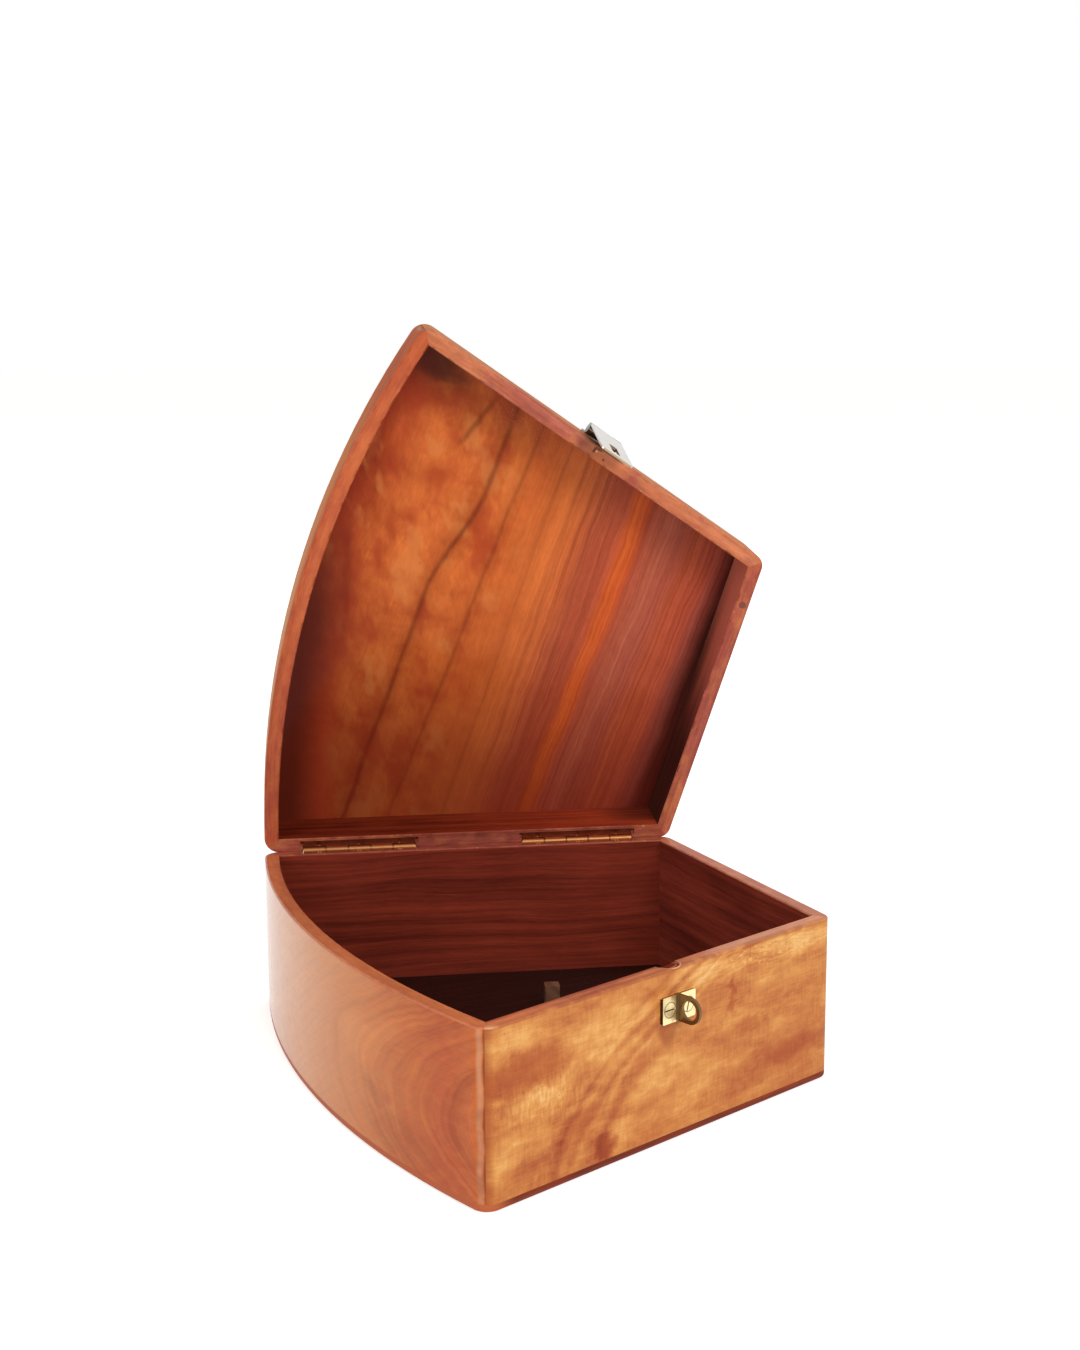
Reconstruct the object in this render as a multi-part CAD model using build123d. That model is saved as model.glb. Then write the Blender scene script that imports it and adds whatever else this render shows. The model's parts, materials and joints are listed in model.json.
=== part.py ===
from build123d import *
import os
from math import atan2, cos, degrees, radians, sin, sqrt

# A keystone-shaped instrument box with a hinged lid, standing open.
# Millimetres. +Z is up. The hinge line runs along X at the back (+Y), the bowed wide end is
# towards -X and the narrow end towards +X. The origin is on the resting face, on the keystone's
# centre line. Everything is drawn with the lid closed, and the lid is then swung to LID_OPEN.

# ---------------------------------------------------------------- driving dimensions

# Outline, seen from above
WIDE_END = 310.0          # across the two corners of the wide end
NARROW_END = 171.0        # across the narrow end
BODY_LENGTH = 221.0       # from the wide end's corners to the narrow end
BOW = 25.0                # how far the wide end bulges past its corners
WIDE_CORNER_ROUND = 8.5   # rounding of the two upright corners of the wide end
NARROW_CORNER_ROUND = 7.0

# Heights and boards
BASE_HEIGHT = 85.0        # resting face to rim
LID_DEPTH = 36.3          # rim of the lid to its top, outside
WALL = 8.0
BOTTOM_LIP = 4.0          # bottom board where it shows under the walls
FLOOR_FIELD = 6.0         # raised middle of the bottom board, inside the walls
FLOOR_FIT = 0.3           # gap all round the raised middle
LID_PANEL = 5.0
LID_GAP = 0.3             # between the two rims, lid closed
RIM_ROUND = 1.0           # outer edges of the rims
RIM_INNER_BEVEL = 0.5
BOTTOM_EDGE_ROUND = 2.0
TOP_EDGE_ROUND = 2.5

# The lid's swing
LID_OPEN = 84.3           # degrees open as it stands, 2 short of where the back edges meet

# Butt hinges, one pair, let into the two rims
HINGE_LENGTH = 63.5
HINGE_INSET = 53.3        # middle of each hinge from the box's corner, along the back
LEAF_WIDTH = 6.2          # of the leaf that lies on the rim
LEAF_THICK = 1.4
KNUCKLE_COUNT = 5
KNUCKLE_RADIUS = 2.0
HINGE_PIN_RADIUS = 1.0
PIN_INSIDE = 0.76         # pin's centre inside the back wall's outer face
KNUCKLE_GAP = 0.3         # between neighbouring knuckles, endwise
BARREL_CLEARANCE = 0.3    # round the barrel, to the wood and to the other leaf
PIN_CLEARANCE = 0.05      # radial, in each knuckle
MORTISE_CLEARANCE = 0.15  # in front of the leaf, in the wood
MORTISE_END_GAP = 1.8     # past each end of the leaf's flat, in front of the barrel
HINGE_SCREW_PITCH = 22.75
HINGE_SCREW_HEAD = 1.3    # radius
HINGE_SCREW_SHANK = 0.8   # radius
HINGE_SCREW_LENGTH = 10.0

# Hasp on the lid and staple on the base
HASP_FROM_CORNER = 119.0  # hasp's centre line from the wide end's front corner
HASP_WIDTH = 20.6
STRAP_LENGTH = 54.6       # from the hasp's pin to the strap's free end
STRAP_THICK = 1.2
STRAP_CORNER_ROUND = 2.0
STRAP_SLOPE = 5.0         # degrees that the strap leans in towards its free end
SLOT_WIDTH = 4.8
SLOT_LENGTH = 17.0
HASP_PIN_UP = 20.0        # hasp's pin above the lid's rim
HASP_PIN_OUT = 3.9        # hasp's pin off the lid's front
HASP_BARREL_RADIUS = 3.3
HASP_PIN_RADIUS = 1.3
HASP_MIDDLE_KNUCKLE = 8.6
HASP_LEAF_HEIGHT = 13.0   # from the hasp's pin to the leaf's top
HASP_SCREW_PITCH = 11.0
HASP_SCREW_UP = 8.3       # screws above the hasp's pin
HASP_SCREW_HEAD = 2.5     # radius
HASP_SCREW_SHANK = 1.3    # radius
HASP_SCREW_LENGTH = 7.5
STAPLE_WIDTH = 22.0
STAPLE_HEIGHT = 13.1
STAPLE_THICK = 1.8
STAPLE_BELOW_RIM = 18.9   # staple's centre below the base's rim
LOOP_THICK = 1.6
LOOP_HOLE_RADIUS = 4.6
LOOP_HOLE_OUT = 8.8       # centre of the loop's hole off the wall
STAPLE_SCREW_PITCH = 12.3
STAPLE_SCREW_HEAD = 3.6   # radius
STAPLE_SCREW_SHANK = 1.8  # radius
STAPLE_SCREW_LENGTH = 8.0
PLATE_CORNER_ROUND = 0.8

# Screws through the bottom board into the walls
BOARD_SCREW_HEAD = 3.0    # radius
BOARD_SCREW_SHANK = 1.5   # radius
BOARD_SCREW_LENGTH = 16.0
BOARD_SCREW_SINK = 0.3    # heads below the resting face
BOARD_SCREW_INSET = 42.0  # from each corner, along the wall

# All wood screws
SCREW_SLOT_WIDTH = 0.7
SCREW_SLOT_DEPTH = 0.6
SCREW_FIT = 0.05          # round each screw, in wood and metal

# Worn thumb notch in the front rim, over the staple
NOTCH_RADIUS = 6.8        # seen from above
NOTCH_DEPTH = 1.6
NOTCH_BREAK = 0.4         # how near its round end comes to the wall's outer face

# Dowel plug in the lid's rim, at the narrow end
PLUG_RADIUS = 1.9
PLUG_LENGTH = 12.0
PLUG_FROM_CORNER = 27.6   # along the narrow end, from its front corner

# Rests for the instrument, on the floor
ARC_REST_LENGTH = 34.0
ARC_REST_WIDTH = 13.0
ARC_REST_HEIGHT = 16.0
ARC_REST_STEP_WIDTH = 6.0        # step that takes the instrument's arc
ARC_REST_STEP_DEPTH = 8.0
ARC_REST_SPACING = 124.0         # between the middles of the two
ARC_REST_OFF_WALL = 28.7         # clear of the curved wall
ARC_REST_TURN = 20.0             # degrees that each is turned to the arc
PAD_THICK = 1.6
PAD_MARGIN = 0.6
CHOCK_LENGTH = 22.0
CHOCK_WIDTH = 60.0
CHOCK_HEIGHT = 24.0
CHOCK_OFF_WALL = 53.5            # clear of the narrow end's wall
CHOCK_ASIDE = -26.0              # its middle from the centre line, towards the front
CHOCK_SADDLE_RADIUS = 13.0
END_REST_LENGTH = 14.0
END_REST_WIDTH = 44.0
END_REST_HEIGHT = 15.0
END_REST_OFF_WALL = 9.5          # clear of the narrow end's wall
END_REST_NOTCH_WIDTH = 20.0
END_REST_NOTCH_DEPTH = 7.0
POST_SIDE = 8.0
POST_HEIGHT = 14.0
POST_FROM_CORNER = 78.0          # along the back from the narrow end's corner
POST_OFF_WALL = 59.6             # clear of the back wall
POST_TURN = -20.0                # degrees, to the keystone's centre line
REST_EDGE_ROUND = 0.6            # rounding of the rests' upright edges

# ---------------------------------------------------------------- plan geometry

SPLAY = atan2((WIDE_END - NARROW_END) / 2, BODY_LENGTH)  # each long wall to the centre line
LID_RIM = BASE_HEIGHT + LID_GAP
LID_TOP = LID_RIM + LID_DEPTH
FLOOR_TOP = BOTTOM_LIP + FLOOR_FIELD
BIG = 400.0               # longer than anything here, for cutting tools


def on_plan(along, across):
    """A point given on the keystone's own centre line, turned so that the back runs along X."""
    return Vector(
        along * cos(SPLAY) - across * sin(SPLAY),
        along * sin(SPLAY) + across * cos(SPLAY),
    )


FRONT_WIDE = on_plan(-BODY_LENGTH / 2, -WIDE_END / 2)
FRONT_NARROW = on_plan(BODY_LENGTH / 2, -NARROW_END / 2)
BACK_NARROW = on_plan(BODY_LENGTH / 2, NARROW_END / 2)
BACK_WIDE = on_plan(-BODY_LENGTH / 2, WIDE_END / 2)
BOW_MIDDLE = on_plan(-BODY_LENGTH / 2 - BOW, 0)
BOW_RADIUS = ((WIDE_END / 2) ** 2 + BOW**2) / (2 * BOW)
BOW_CENTRE = on_plan(-BODY_LENGTH / 2 - BOW + BOW_RADIUS, 0)
CORNERS = [FRONT_WIDE, FRONT_NARROW, BACK_NARROW, BACK_WIDE]


def keystone(inset=0.0):
    """The box's outline as a face at z = 0, with sharp corners, inset by so much."""
    outline = make_face(
        [
            Line(FRONT_WIDE, FRONT_NARROW),
            Line(FRONT_NARROW, BACK_NARROW),
            Line(BACK_NARROW, BACK_WIDE),
            ThreePointArc(BACK_WIDE, BOW_MIDDLE, FRONT_WIDE),
        ]
    )
    if inset:
        outline = offset(outline, -inset, kind=Kind.INTERSECTION)
    return outline


def rounded_keystone():
    """The outer outline with its upright corners rounded."""
    outline = keystone()
    for corners, radius in (
        ([FRONT_WIDE, BACK_WIDE], WIDE_CORNER_ROUND),
        ([FRONT_NARROW, BACK_NARROW], NARROW_CORNER_ROUND),
    ):
        chosen = [
            vertex
            for vertex in outline.vertices()
            if min((Vector(vertex) - corner).length for corner in corners) < 0.01
        ]
        outline = fillet(chosen, radius)
    return outline


def nearest_vertex(shape, point):
    return min((Vector(v) for v in shape.vertices()), key=lambda v: (v - point).length)


INSIDE = keystone(WALL)
INNER_CORNERS = [nearest_vertex(INSIDE, corner) for corner in CORNERS]


def prism(face, low, high):
    """A face at z = 0 as a solid from low to high."""
    return Pos(0, 0, low) * extrude(face, high - low)


def mitre_wedge(first, second, past_bow=()):
    """The space between the mitres of two corners, which cuts one wall out of the ring."""
    outer, inner = [], []
    for index in (first, second):
        slant = CORNERS[index] - INNER_CORNERS[index]
        outer.append(CORNERS[index] + slant)
        inner.append(INNER_CORNERS[index] - slant / 2)
    points = [outer[0], *past_bow, outer[1], inner[1], inner[0]]
    return prism(make_face(Polyline(*points, close=True)), -BIG / 2, BIG / 2)


WEDGES = {
    "front_wall": mitre_wedge(0, 1),
    "end_wall": mitre_wedge(1, 2),
    "back_wall": mitre_wedge(2, 3),
    "curved_wall": mitre_wedge(3, 0, [on_plan(-BODY_LENGTH / 2 - 4 * BOW, 0)]),
}


def wall_ring(low, high, rim_at):
    """The four walls in one piece, the rim's outer edge rounded and its inner edge bevelled."""
    ring = prism(rounded_keystone() - INSIDE, low, high)
    rim = ring.faces().sort_by(Axis.Z)[-1 if rim_at == high else 0]
    ring = fillet(rim.outer_wire().edges(), RIM_ROUND)
    rim = ring.faces().filter_by(GeomType.PLANE).sort_by(Axis.Z)[-1 if rim_at == high else 0]
    return chamfer(rim.inner_wires()[0].edges(), RIM_INNER_BEVEL)


# ---------------------------------------------------------------- places for the hardware

FRONT_RUN = (FRONT_NARROW - FRONT_WIDE).normalized()
FRONT_OUT = Vector(FRONT_RUN.Y, -FRONT_RUN.X)
END_RUN = (BACK_NARROW - FRONT_NARROW).normalized()
BACK_Y = BACK_WIDE.Y
HINGE_Y = BACK_Y - PIN_INSIDE
HINGE_Z = BASE_HEIGHT + LID_GAP / 2
HINGE_AXIS = Axis((0, HINGE_Y, HINGE_Z), (-1, 0, 0))
HINGE_MIDDLES = {
    "right": BACK_NARROW.X - HINGE_INSET,
    "left": BACK_WIDE.X + HINGE_INSET,
}
HASP_FOOT = FRONT_WIDE + FRONT_RUN * HASP_FROM_CORNER
# On these planes local x runs along the front, y is up and z points out of the wall
STAPLE_PLANE = Plane(
    origin=(HASP_FOOT.X, HASP_FOOT.Y, BASE_HEIGHT), x_dir=FRONT_RUN, z_dir=FRONT_OUT
)
HASP_PLANE = Plane(
    origin=(HASP_FOOT.X, HASP_FOOT.Y, LID_RIM), x_dir=FRONT_RUN, z_dir=FRONT_OUT
)


def opened(part):
    """A piece of the closed lid, swung to where the lid stands."""
    return part.rotate(HINGE_AXIS, LID_OPEN)


# ---------------------------------------------------------------- wood screws


def screw(head, shank, length):
    """A slotted countersunk wood screw, its flat head at z = 0, pointing down."""
    sink = head - shank
    point = 2 * shank
    profile = make_face(
        Polyline(
            (0, 0),
            (head, 0),
            (shank, -sink),
            (shank, point - length),
            (0, -length),
            close=True,
        )
    )
    body = revolve(Plane.XZ * profile, Axis.Z)
    slot = Pos(0, 0, -SCREW_SLOT_DEPTH / 2) * Box(2.2 * head, SCREW_SLOT_WIDTH, SCREW_SLOT_DEPTH)
    return body - slot


def screw_hole(head, shank, length):
    """The countersunk hole for such a screw, a little larger all round."""
    top = head + SCREW_FIT
    sink = head - shank
    hole = Pos(0, 0, -sink / 2) * Cone(shank + SCREW_FIT, top, sink)
    hole += Pos(0, 0, SCREW_FIT) * Cylinder(top, 2 * SCREW_FIT)
    depth = length + SCREW_FIT
    return hole + Pos(0, 0, -depth / 2) * Cylinder(shank + SCREW_FIT, depth)


HINGE_SCREW = (HINGE_SCREW_HEAD, HINGE_SCREW_SHANK, HINGE_SCREW_LENGTH)
HASP_SCREW = (HASP_SCREW_HEAD, HASP_SCREW_SHANK, HASP_SCREW_LENGTH)
STAPLE_SCREW = (STAPLE_SCREW_HEAD, STAPLE_SCREW_SHANK, STAPLE_SCREW_LENGTH)
BOARD_SCREW = (BOARD_SCREW_HEAD, BOARD_SCREW_SHANK, BOARD_SCREW_LENGTH)


def hinge_screw_places(side, on_lid):
    """Where one leaf's three screws go: planes whose z points out of the leaf."""
    across = HINGE_Y - (LEAF_WIDTH - PIN_INSIDE + KNUCKLE_RADIUS) / 2
    height, out = (LID_RIM, (0, 0, -1)) if on_lid else (BASE_HEIGHT, (0, 0, 1))
    return [
        Plane(origin=(HINGE_MIDDLES[side] + step, across, height), x_dir=(0, 1, 0), z_dir=out)
        for step in (-HINGE_SCREW_PITCH, 0, HINGE_SCREW_PITCH)
    ]


def hasp_screw_places():
    up = HASP_PIN_UP + HASP_SCREW_UP
    return [
        HASP_PLANE * Pos(side * HASP_SCREW_PITCH / 2, up, STRAP_THICK) * Rot(0, 0, turn)
        for side, turn in ((-1, 25), (1, -40))
    ]


def staple_screw_places():
    return [
        STAPLE_PLANE
        * Pos(side * STAPLE_SCREW_PITCH / 2, -STAPLE_BELOW_RIM, STAPLE_THICK)
        * Rot(0, 0, turn)
        for side, turn in ((-1, 0), (1, 75))
    ]


def board_screw_places():
    """Eight screws, two up into each wall, from under the bottom board."""
    spots = []
    for first, second in ((0, 1), (1, 2), (2, 3)):
        start = (CORNERS[first] + INNER_CORNERS[first]) / 2
        run = (CORNERS[second] + INNER_CORNERS[second]) / 2 - start
        inset = run.normalized() * BOARD_SCREW_INSET
        spots += [start + inset, start + run - inset]
    mid_radius = BOW_RADIUS - WALL / 2
    half_angle = degrees(atan2(WIDE_END / 2, BOW_RADIUS - BOW))
    swing = half_angle - degrees(BOARD_SCREW_INSET / BOW_RADIUS)
    for angle in (-swing, swing):
        heading = degrees(SPLAY) + 180 + angle
        spots.append(BOW_CENTRE + Vector(cos(radians(heading)), sin(radians(heading))) * mid_radius)
    return [Plane(origin=(spot.X, spot.Y, BOARD_SCREW_SINK), z_dir=(0, 0, -1)) for spot in spots]


def screws(sizes, places):
    return Compound(children=[place * screw(*sizes) for place in places])


def screw_holes(sizes, places):
    return [place * screw_hole(*sizes) for place in places]


# ---------------------------------------------------------------- butt hinges


def barrel_piece(side, radius, start, end):
    """A length of round bar on the hinge's centre line, from start to end along it."""
    middle = HINGE_MIDDLES[side] + (start + end) / 2
    return Pos(middle, HINGE_Y, HINGE_Z) * Rot(0, 90, 0) * Cylinder(radius, end - start)


def knuckle_spans(of_lid, shorter):
    """Where one leaf's knuckles start and end along the hinge, each end shorter by so much.

    The lid's leaf has every second knuckle, and the base's leaf the others.
    """
    pitch = HINGE_LENGTH / KNUCKLE_COUNT
    starts = [index * pitch - HINGE_LENGTH / 2 for index in range(KNUCKLE_COUNT)]
    chosen = starts[1::2] if of_lid else starts[::2]
    return [(start + shorter, start + pitch - shorter) for start in chosen]


def leaf_box(side, on_lid, clearance=0.0, end_gap=0.0, past=0.0, inset=0.0):
    """The flat of a leaf, or the recess for it when given clearances.

    inset is how far in front of the pin its back edge is.
    """
    back = HINGE_Y - inset if inset else HINGE_Y + past
    front = BACK_Y - LEAF_WIDTH - clearance
    top, bottom = BASE_HEIGHT + past, BASE_HEIGHT - LEAF_THICK
    if on_lid:
        top, bottom = LID_RIM - past, LID_RIM + LEAF_THICK
    return Pos(HINGE_MIDDLES[side], (front + back) / 2, (top + bottom) / 2) * Box(
        HINGE_LENGTH + 2 * end_gap, back - front, abs(top - bottom)
    )


def hinge_leaf(side, on_lid):
    leaf = leaf_box(side, on_lid)
    play = KNUCKLE_GAP / 2
    for start, end in knuckle_spans(not on_lid, shorter=-play):
        leaf -= barrel_piece(side, KNUCKLE_RADIUS + BARREL_CLEARANCE, start, end)
    for start, end in knuckle_spans(on_lid, shorter=play):
        leaf += barrel_piece(side, KNUCKLE_RADIUS, start, end)
    leaf -= barrel_piece(side, HINGE_PIN_RADIUS + PIN_CLEARANCE, -HINGE_LENGTH, HINGE_LENGTH)
    for hole in screw_holes(HINGE_SCREW, hinge_screw_places(side, on_lid)):
        leaf -= hole
    return leaf


def hinge_pin(side):
    return barrel_piece(side, HINGE_PIN_RADIUS, -HINGE_LENGTH / 2, HINGE_LENGTH / 2)


def hinge_recess(side, on_lid):
    """What each rim loses for its leaf and for the barrel."""
    half = HINGE_LENGTH / 2 + MORTISE_CLEARANCE
    around = KNUCKLE_RADIUS + BARREL_CLEARANCE
    recess = leaf_box(side, on_lid, MORTISE_CLEARANCE, MORTISE_CLEARANCE, past=BIG / 10)
    recess += leaf_box(side, on_lid, MORTISE_CLEARANCE, MORTISE_END_GAP, BIG / 10, inset=around)
    return recess + barrel_piece(side, around, -half, half)


def hinge_screws(on_lid):
    places = [place for side in HINGE_MIDDLES for place in hinge_screw_places(side, on_lid)]
    return screws(HINGE_SCREW, places)


# ---------------------------------------------------------------- hasp and staple


def hasp_bar(radius, width):
    """A round bar on the hasp's pin line, centred on the hasp."""
    return Pos(0, HASP_PIN_UP, HASP_PIN_OUT) * Rot(0, 90, 0) * Cylinder(radius, width)


def hasp_side_knuckles(radius, gap):
    """The leaf's two outer knuckles, each side of the strap's own."""
    return hasp_bar(radius, HASP_WIDTH) - hasp_bar(2 * radius, HASP_MIDDLE_KNUCKLE + 2 * gap)


def hasp_leaf():
    plate = Pos(0, HASP_PIN_UP + HASP_LEAF_HEIGHT / 2, STRAP_THICK / 2) * Box(
        HASP_WIDTH, HASP_LEAF_HEIGHT, STRAP_THICK
    )
    top_corners = plate.edges().filter_by(Axis.Z).group_by(Axis.Y)[-1]
    plate = fillet(top_corners, STRAP_CORNER_ROUND)
    around = HASP_BARREL_RADIUS + BARREL_CLEARANCE
    plate -= hasp_bar(around, HASP_MIDDLE_KNUCKLE + KNUCKLE_GAP)
    plate += hasp_side_knuckles(HASP_BARREL_RADIUS, KNUCKLE_GAP / 2)
    plate -= hasp_bar(HASP_PIN_RADIUS + PIN_CLEARANCE, 2 * HASP_WIDTH)
    leaf = HASP_PLANE * plate
    for hole in screw_holes(HASP_SCREW, hasp_screw_places()):
        leaf -= hole
    return leaf


def hasp_strap():
    """The slotted strap, tangent to the front of its knuckle and leaning in to its free end."""
    outer = HASP_BARREL_RADIUS
    plate = Pos(0, -STRAP_LENGTH / 2, outer - STRAP_THICK / 2) * Box(
        HASP_WIDTH, STRAP_LENGTH, STRAP_THICK
    )
    free_corners = plate.edges().filter_by(Axis.Z).group_by(Axis.Y)[0]
    plate = fillet(free_corners, STRAP_CORNER_ROUND)
    slot_down = HASP_PIN_UP + LID_GAP + STAPLE_BELOW_RIM
    slot = extrude(RectangleRounded(SLOT_WIDTH, SLOT_LENGTH, SLOT_WIDTH / 4), 4 * STRAP_THICK)
    plate -= Pos(0, -slot_down, 0) * slot
    plate = Pos(0, HASP_PIN_UP, HASP_PIN_OUT) * Rot(STRAP_SLOPE, 0, 0) * plate
    plate -= hasp_side_knuckles(HASP_BARREL_RADIUS + BARREL_CLEARANCE, 0)
    plate += hasp_bar(HASP_BARREL_RADIUS, HASP_MIDDLE_KNUCKLE)
    plate -= hasp_bar(HASP_PIN_RADIUS + PIN_CLEARANCE, 2 * HASP_WIDTH)
    return HASP_PLANE * plate


def hasp_pin():
    return HASP_PLANE * hasp_bar(HASP_PIN_RADIUS, HASP_WIDTH)


def staple():
    """A screwed plate with a round-nosed loop standing out of it, for a padlock."""
    plate = extrude(RectangleRounded(STAPLE_WIDTH, STAPLE_HEIGHT, PLATE_CORNER_ROUND), STAPLE_THICK)
    nose = STAPLE_HEIGHT / 2
    reach = LOOP_HOLE_OUT + nose
    # Drawn on the upright plane through the loop: local x points out of the wall, y is up
    cheek = Pos(LOOP_HOLE_OUT / 2, 0) * Rectangle(LOOP_HOLE_OUT, STAPLE_HEIGHT)
    cheek += Pos(LOOP_HOLE_OUT, 0) * Circle(nose)
    cheek &= Pos(reach / 2, 0) * Rectangle(reach, STAPLE_HEIGHT)
    cheek -= Pos(LOOP_HOLE_OUT, 0) * Circle(LOOP_HOLE_RADIUS)
    upright = Plane(origin=(0, 0, 0), x_dir=(0, 0, 1), z_dir=(-1, 0, 0))
    loop = extrude(upright * cheek, LOOP_THICK / 2, both=True)
    body = STAPLE_PLANE * Pos(0, -STAPLE_BELOW_RIM, 0) * (plate + loop)
    for hole in screw_holes(STAPLE_SCREW, staple_screw_places()):
        body -= hole
    return body


# ---------------------------------------------------------------- woodwork


def thumb_notch():
    """A dished scoop for a fingertip, out of the front rim, over the staple."""
    radius = (NOTCH_RADIUS**2 + NOTCH_DEPTH**2) / (2 * NOTCH_DEPTH)
    inwards = NOTCH_RADIUS + NOTCH_BREAK
    return STAPLE_PLANE * Pos(0, radius - NOTCH_DEPTH, -inwards) * Sphere(radius)


def base_walls():
    ring = wall_ring(BOTTOM_LIP, BASE_HEIGHT, BASE_HEIGHT)
    walls = {name: ring & wedge for name, wedge in WEDGES.items()}
    board_holes = screw_holes(BOARD_SCREW, board_screw_places())
    for name in walls:
        for hole in board_holes:
            walls[name] -= hole
    for side in HINGE_MIDDLES:
        walls["back_wall"] -= hinge_recess(side, on_lid=False)
        for hole in screw_holes(HINGE_SCREW, hinge_screw_places(side, on_lid=False)):
            walls["back_wall"] -= hole
    walls["front_wall"] -= thumb_notch()
    for hole in screw_holes(STAPLE_SCREW, staple_screw_places()):
        walls["front_wall"] -= hole
    return walls


def lid_walls():
    ring = wall_ring(LID_RIM, LID_TOP - LID_PANEL, LID_RIM)
    walls = {name: ring & wedge for name, wedge in WEDGES.items()}
    for side in HINGE_MIDDLES:
        walls["back_wall"] -= hinge_recess(side, on_lid=True)
        for hole in screw_holes(HINGE_SCREW, hinge_screw_places(side, on_lid=True)):
            walls["back_wall"] -= hole
    for hole in screw_holes(HASP_SCREW, hasp_screw_places()):
        walls["front_wall"] -= hole
    walls["end_wall"] -= rim_plug(SCREW_FIT)
    return walls


def bottom_board():
    """The board under the walls, with a raised field that fits between them."""
    board = prism(rounded_keystone(), 0, BOTTOM_LIP)
    board = fillet(board.faces().sort_by(Axis.Z)[0].outer_wire().edges(), BOTTOM_EDGE_ROUND)
    board += prism(keystone(WALL + FLOOR_FIT), BOTTOM_LIP, FLOOR_TOP)
    for hole in screw_holes(BOARD_SCREW, board_screw_places()):
        board -= hole
    return board


def lid_top_panel():
    panel = prism(rounded_keystone(), LID_TOP - LID_PANEL, LID_TOP)
    return fillet(panel.faces().sort_by(Axis.Z)[-1].outer_wire().edges(), TOP_EDGE_ROUND)


def rim_plug(clearance=0.0):
    """A dowel let into the lid's rim at the narrow end, flush with it."""
    inwards = Vector(-END_RUN.Y, END_RUN.X) * (WALL / 2)
    spot = FRONT_NARROW + END_RUN * PLUG_FROM_CORNER + inwards
    length = PLUG_LENGTH + clearance
    return Pos(spot.X, spot.Y, LID_RIM + length / 2) * Cylinder(PLUG_RADIUS + clearance, length)


# ---------------------------------------------------------------- rests for the instrument


def on_floor(along, across, turn=0.0):
    spot = on_plan(along, across)
    return Pos(spot.X, spot.Y, FLOOR_TOP) * Rot(0, 0, degrees(SPLAY) + turn)


def off_end_wall(gap, length):
    """How far along the centre line a block's middle is when it stands clear of the end wall."""
    return BODY_LENGTH / 2 - WALL - gap - length / 2


def standing(length, width, height):
    """A block standing on z = 0, its upright edges rounded a little."""
    block = Pos(0, 0, height / 2) * Box(length, width, height)
    return fillet(block.edges().filter_by(Axis.Z), REST_EDGE_ROUND)


def on_step(length, width, thickness):
    """A strip on the arc rest's step, as it stands at the origin."""
    middle = -(ARC_REST_WIDTH - ARC_REST_STEP_WIDTH) / 2
    step_top = ARC_REST_HEIGHT - ARC_REST_STEP_DEPTH
    return Pos(0, middle, step_top + thickness / 2) * Box(length, width, thickness)


def arc_rest_place(side):
    radius = BOW_RADIUS - WALL - ARC_REST_OFF_WALL - ARC_REST_WIDTH / 2
    aside = ARC_REST_SPACING / 2
    bow_centre_along = BOW_RADIUS - BOW - BODY_LENGTH / 2
    along = bow_centre_along - sqrt(radius**2 - aside**2)
    return on_floor(along, side * aside, 90 - side * ARC_REST_TURN)


def arc_rest(side):
    """A stepped block that the instrument's arc sits on. Its step faces the narrow end."""
    block = standing(ARC_REST_LENGTH, ARC_REST_WIDTH, ARC_REST_HEIGHT)
    step = on_step(ARC_REST_LENGTH, ARC_REST_STEP_WIDTH, ARC_REST_STEP_DEPTH)
    return arc_rest_place(side) * (block - step)


def arc_rest_pad(side):
    """The felt strip on the step."""
    length = ARC_REST_LENGTH - 2 * PAD_MARGIN
    width = ARC_REST_STEP_WIDTH - 2 * PAD_MARGIN
    return arc_rest_place(side) * on_step(length, width, PAD_THICK)


def handle_chock():
    """A block with a round saddle for the instrument's handle."""
    block = standing(CHOCK_LENGTH, CHOCK_WIDTH, CHOCK_HEIGHT)
    bar = Rot(0, 90, 0) * Cylinder(CHOCK_SADDLE_RADIUS, 2 * CHOCK_LENGTH)
    block -= Pos(0, 0, CHOCK_HEIGHT) * bar
    return on_floor(off_end_wall(CHOCK_OFF_WALL, CHOCK_LENGTH), CHOCK_ASIDE) * block


def end_rest():
    """A low notched block by the narrow end."""
    block = standing(END_REST_LENGTH, END_REST_WIDTH, END_REST_HEIGHT)
    notch = Box(2 * END_REST_LENGTH, END_REST_NOTCH_WIDTH, END_REST_NOTCH_DEPTH)
    block -= Pos(0, 0, END_REST_HEIGHT - END_REST_NOTCH_DEPTH / 2) * notch
    return on_floor(off_end_wall(END_REST_OFF_WALL, END_REST_LENGTH), 0) * block


def rest_post():
    post = standing(POST_SIDE, POST_SIDE, POST_HEIGHT)
    across = BACK_Y - WALL - POST_OFF_WALL - POST_SIDE / 2
    turned = Rot(0, 0, degrees(SPLAY) + POST_TURN)
    return Pos(BACK_NARROW.X - POST_FROM_CORNER, across, FLOOR_TOP) * turned * post


# ---------------------------------------------------------------- the whole box


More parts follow.
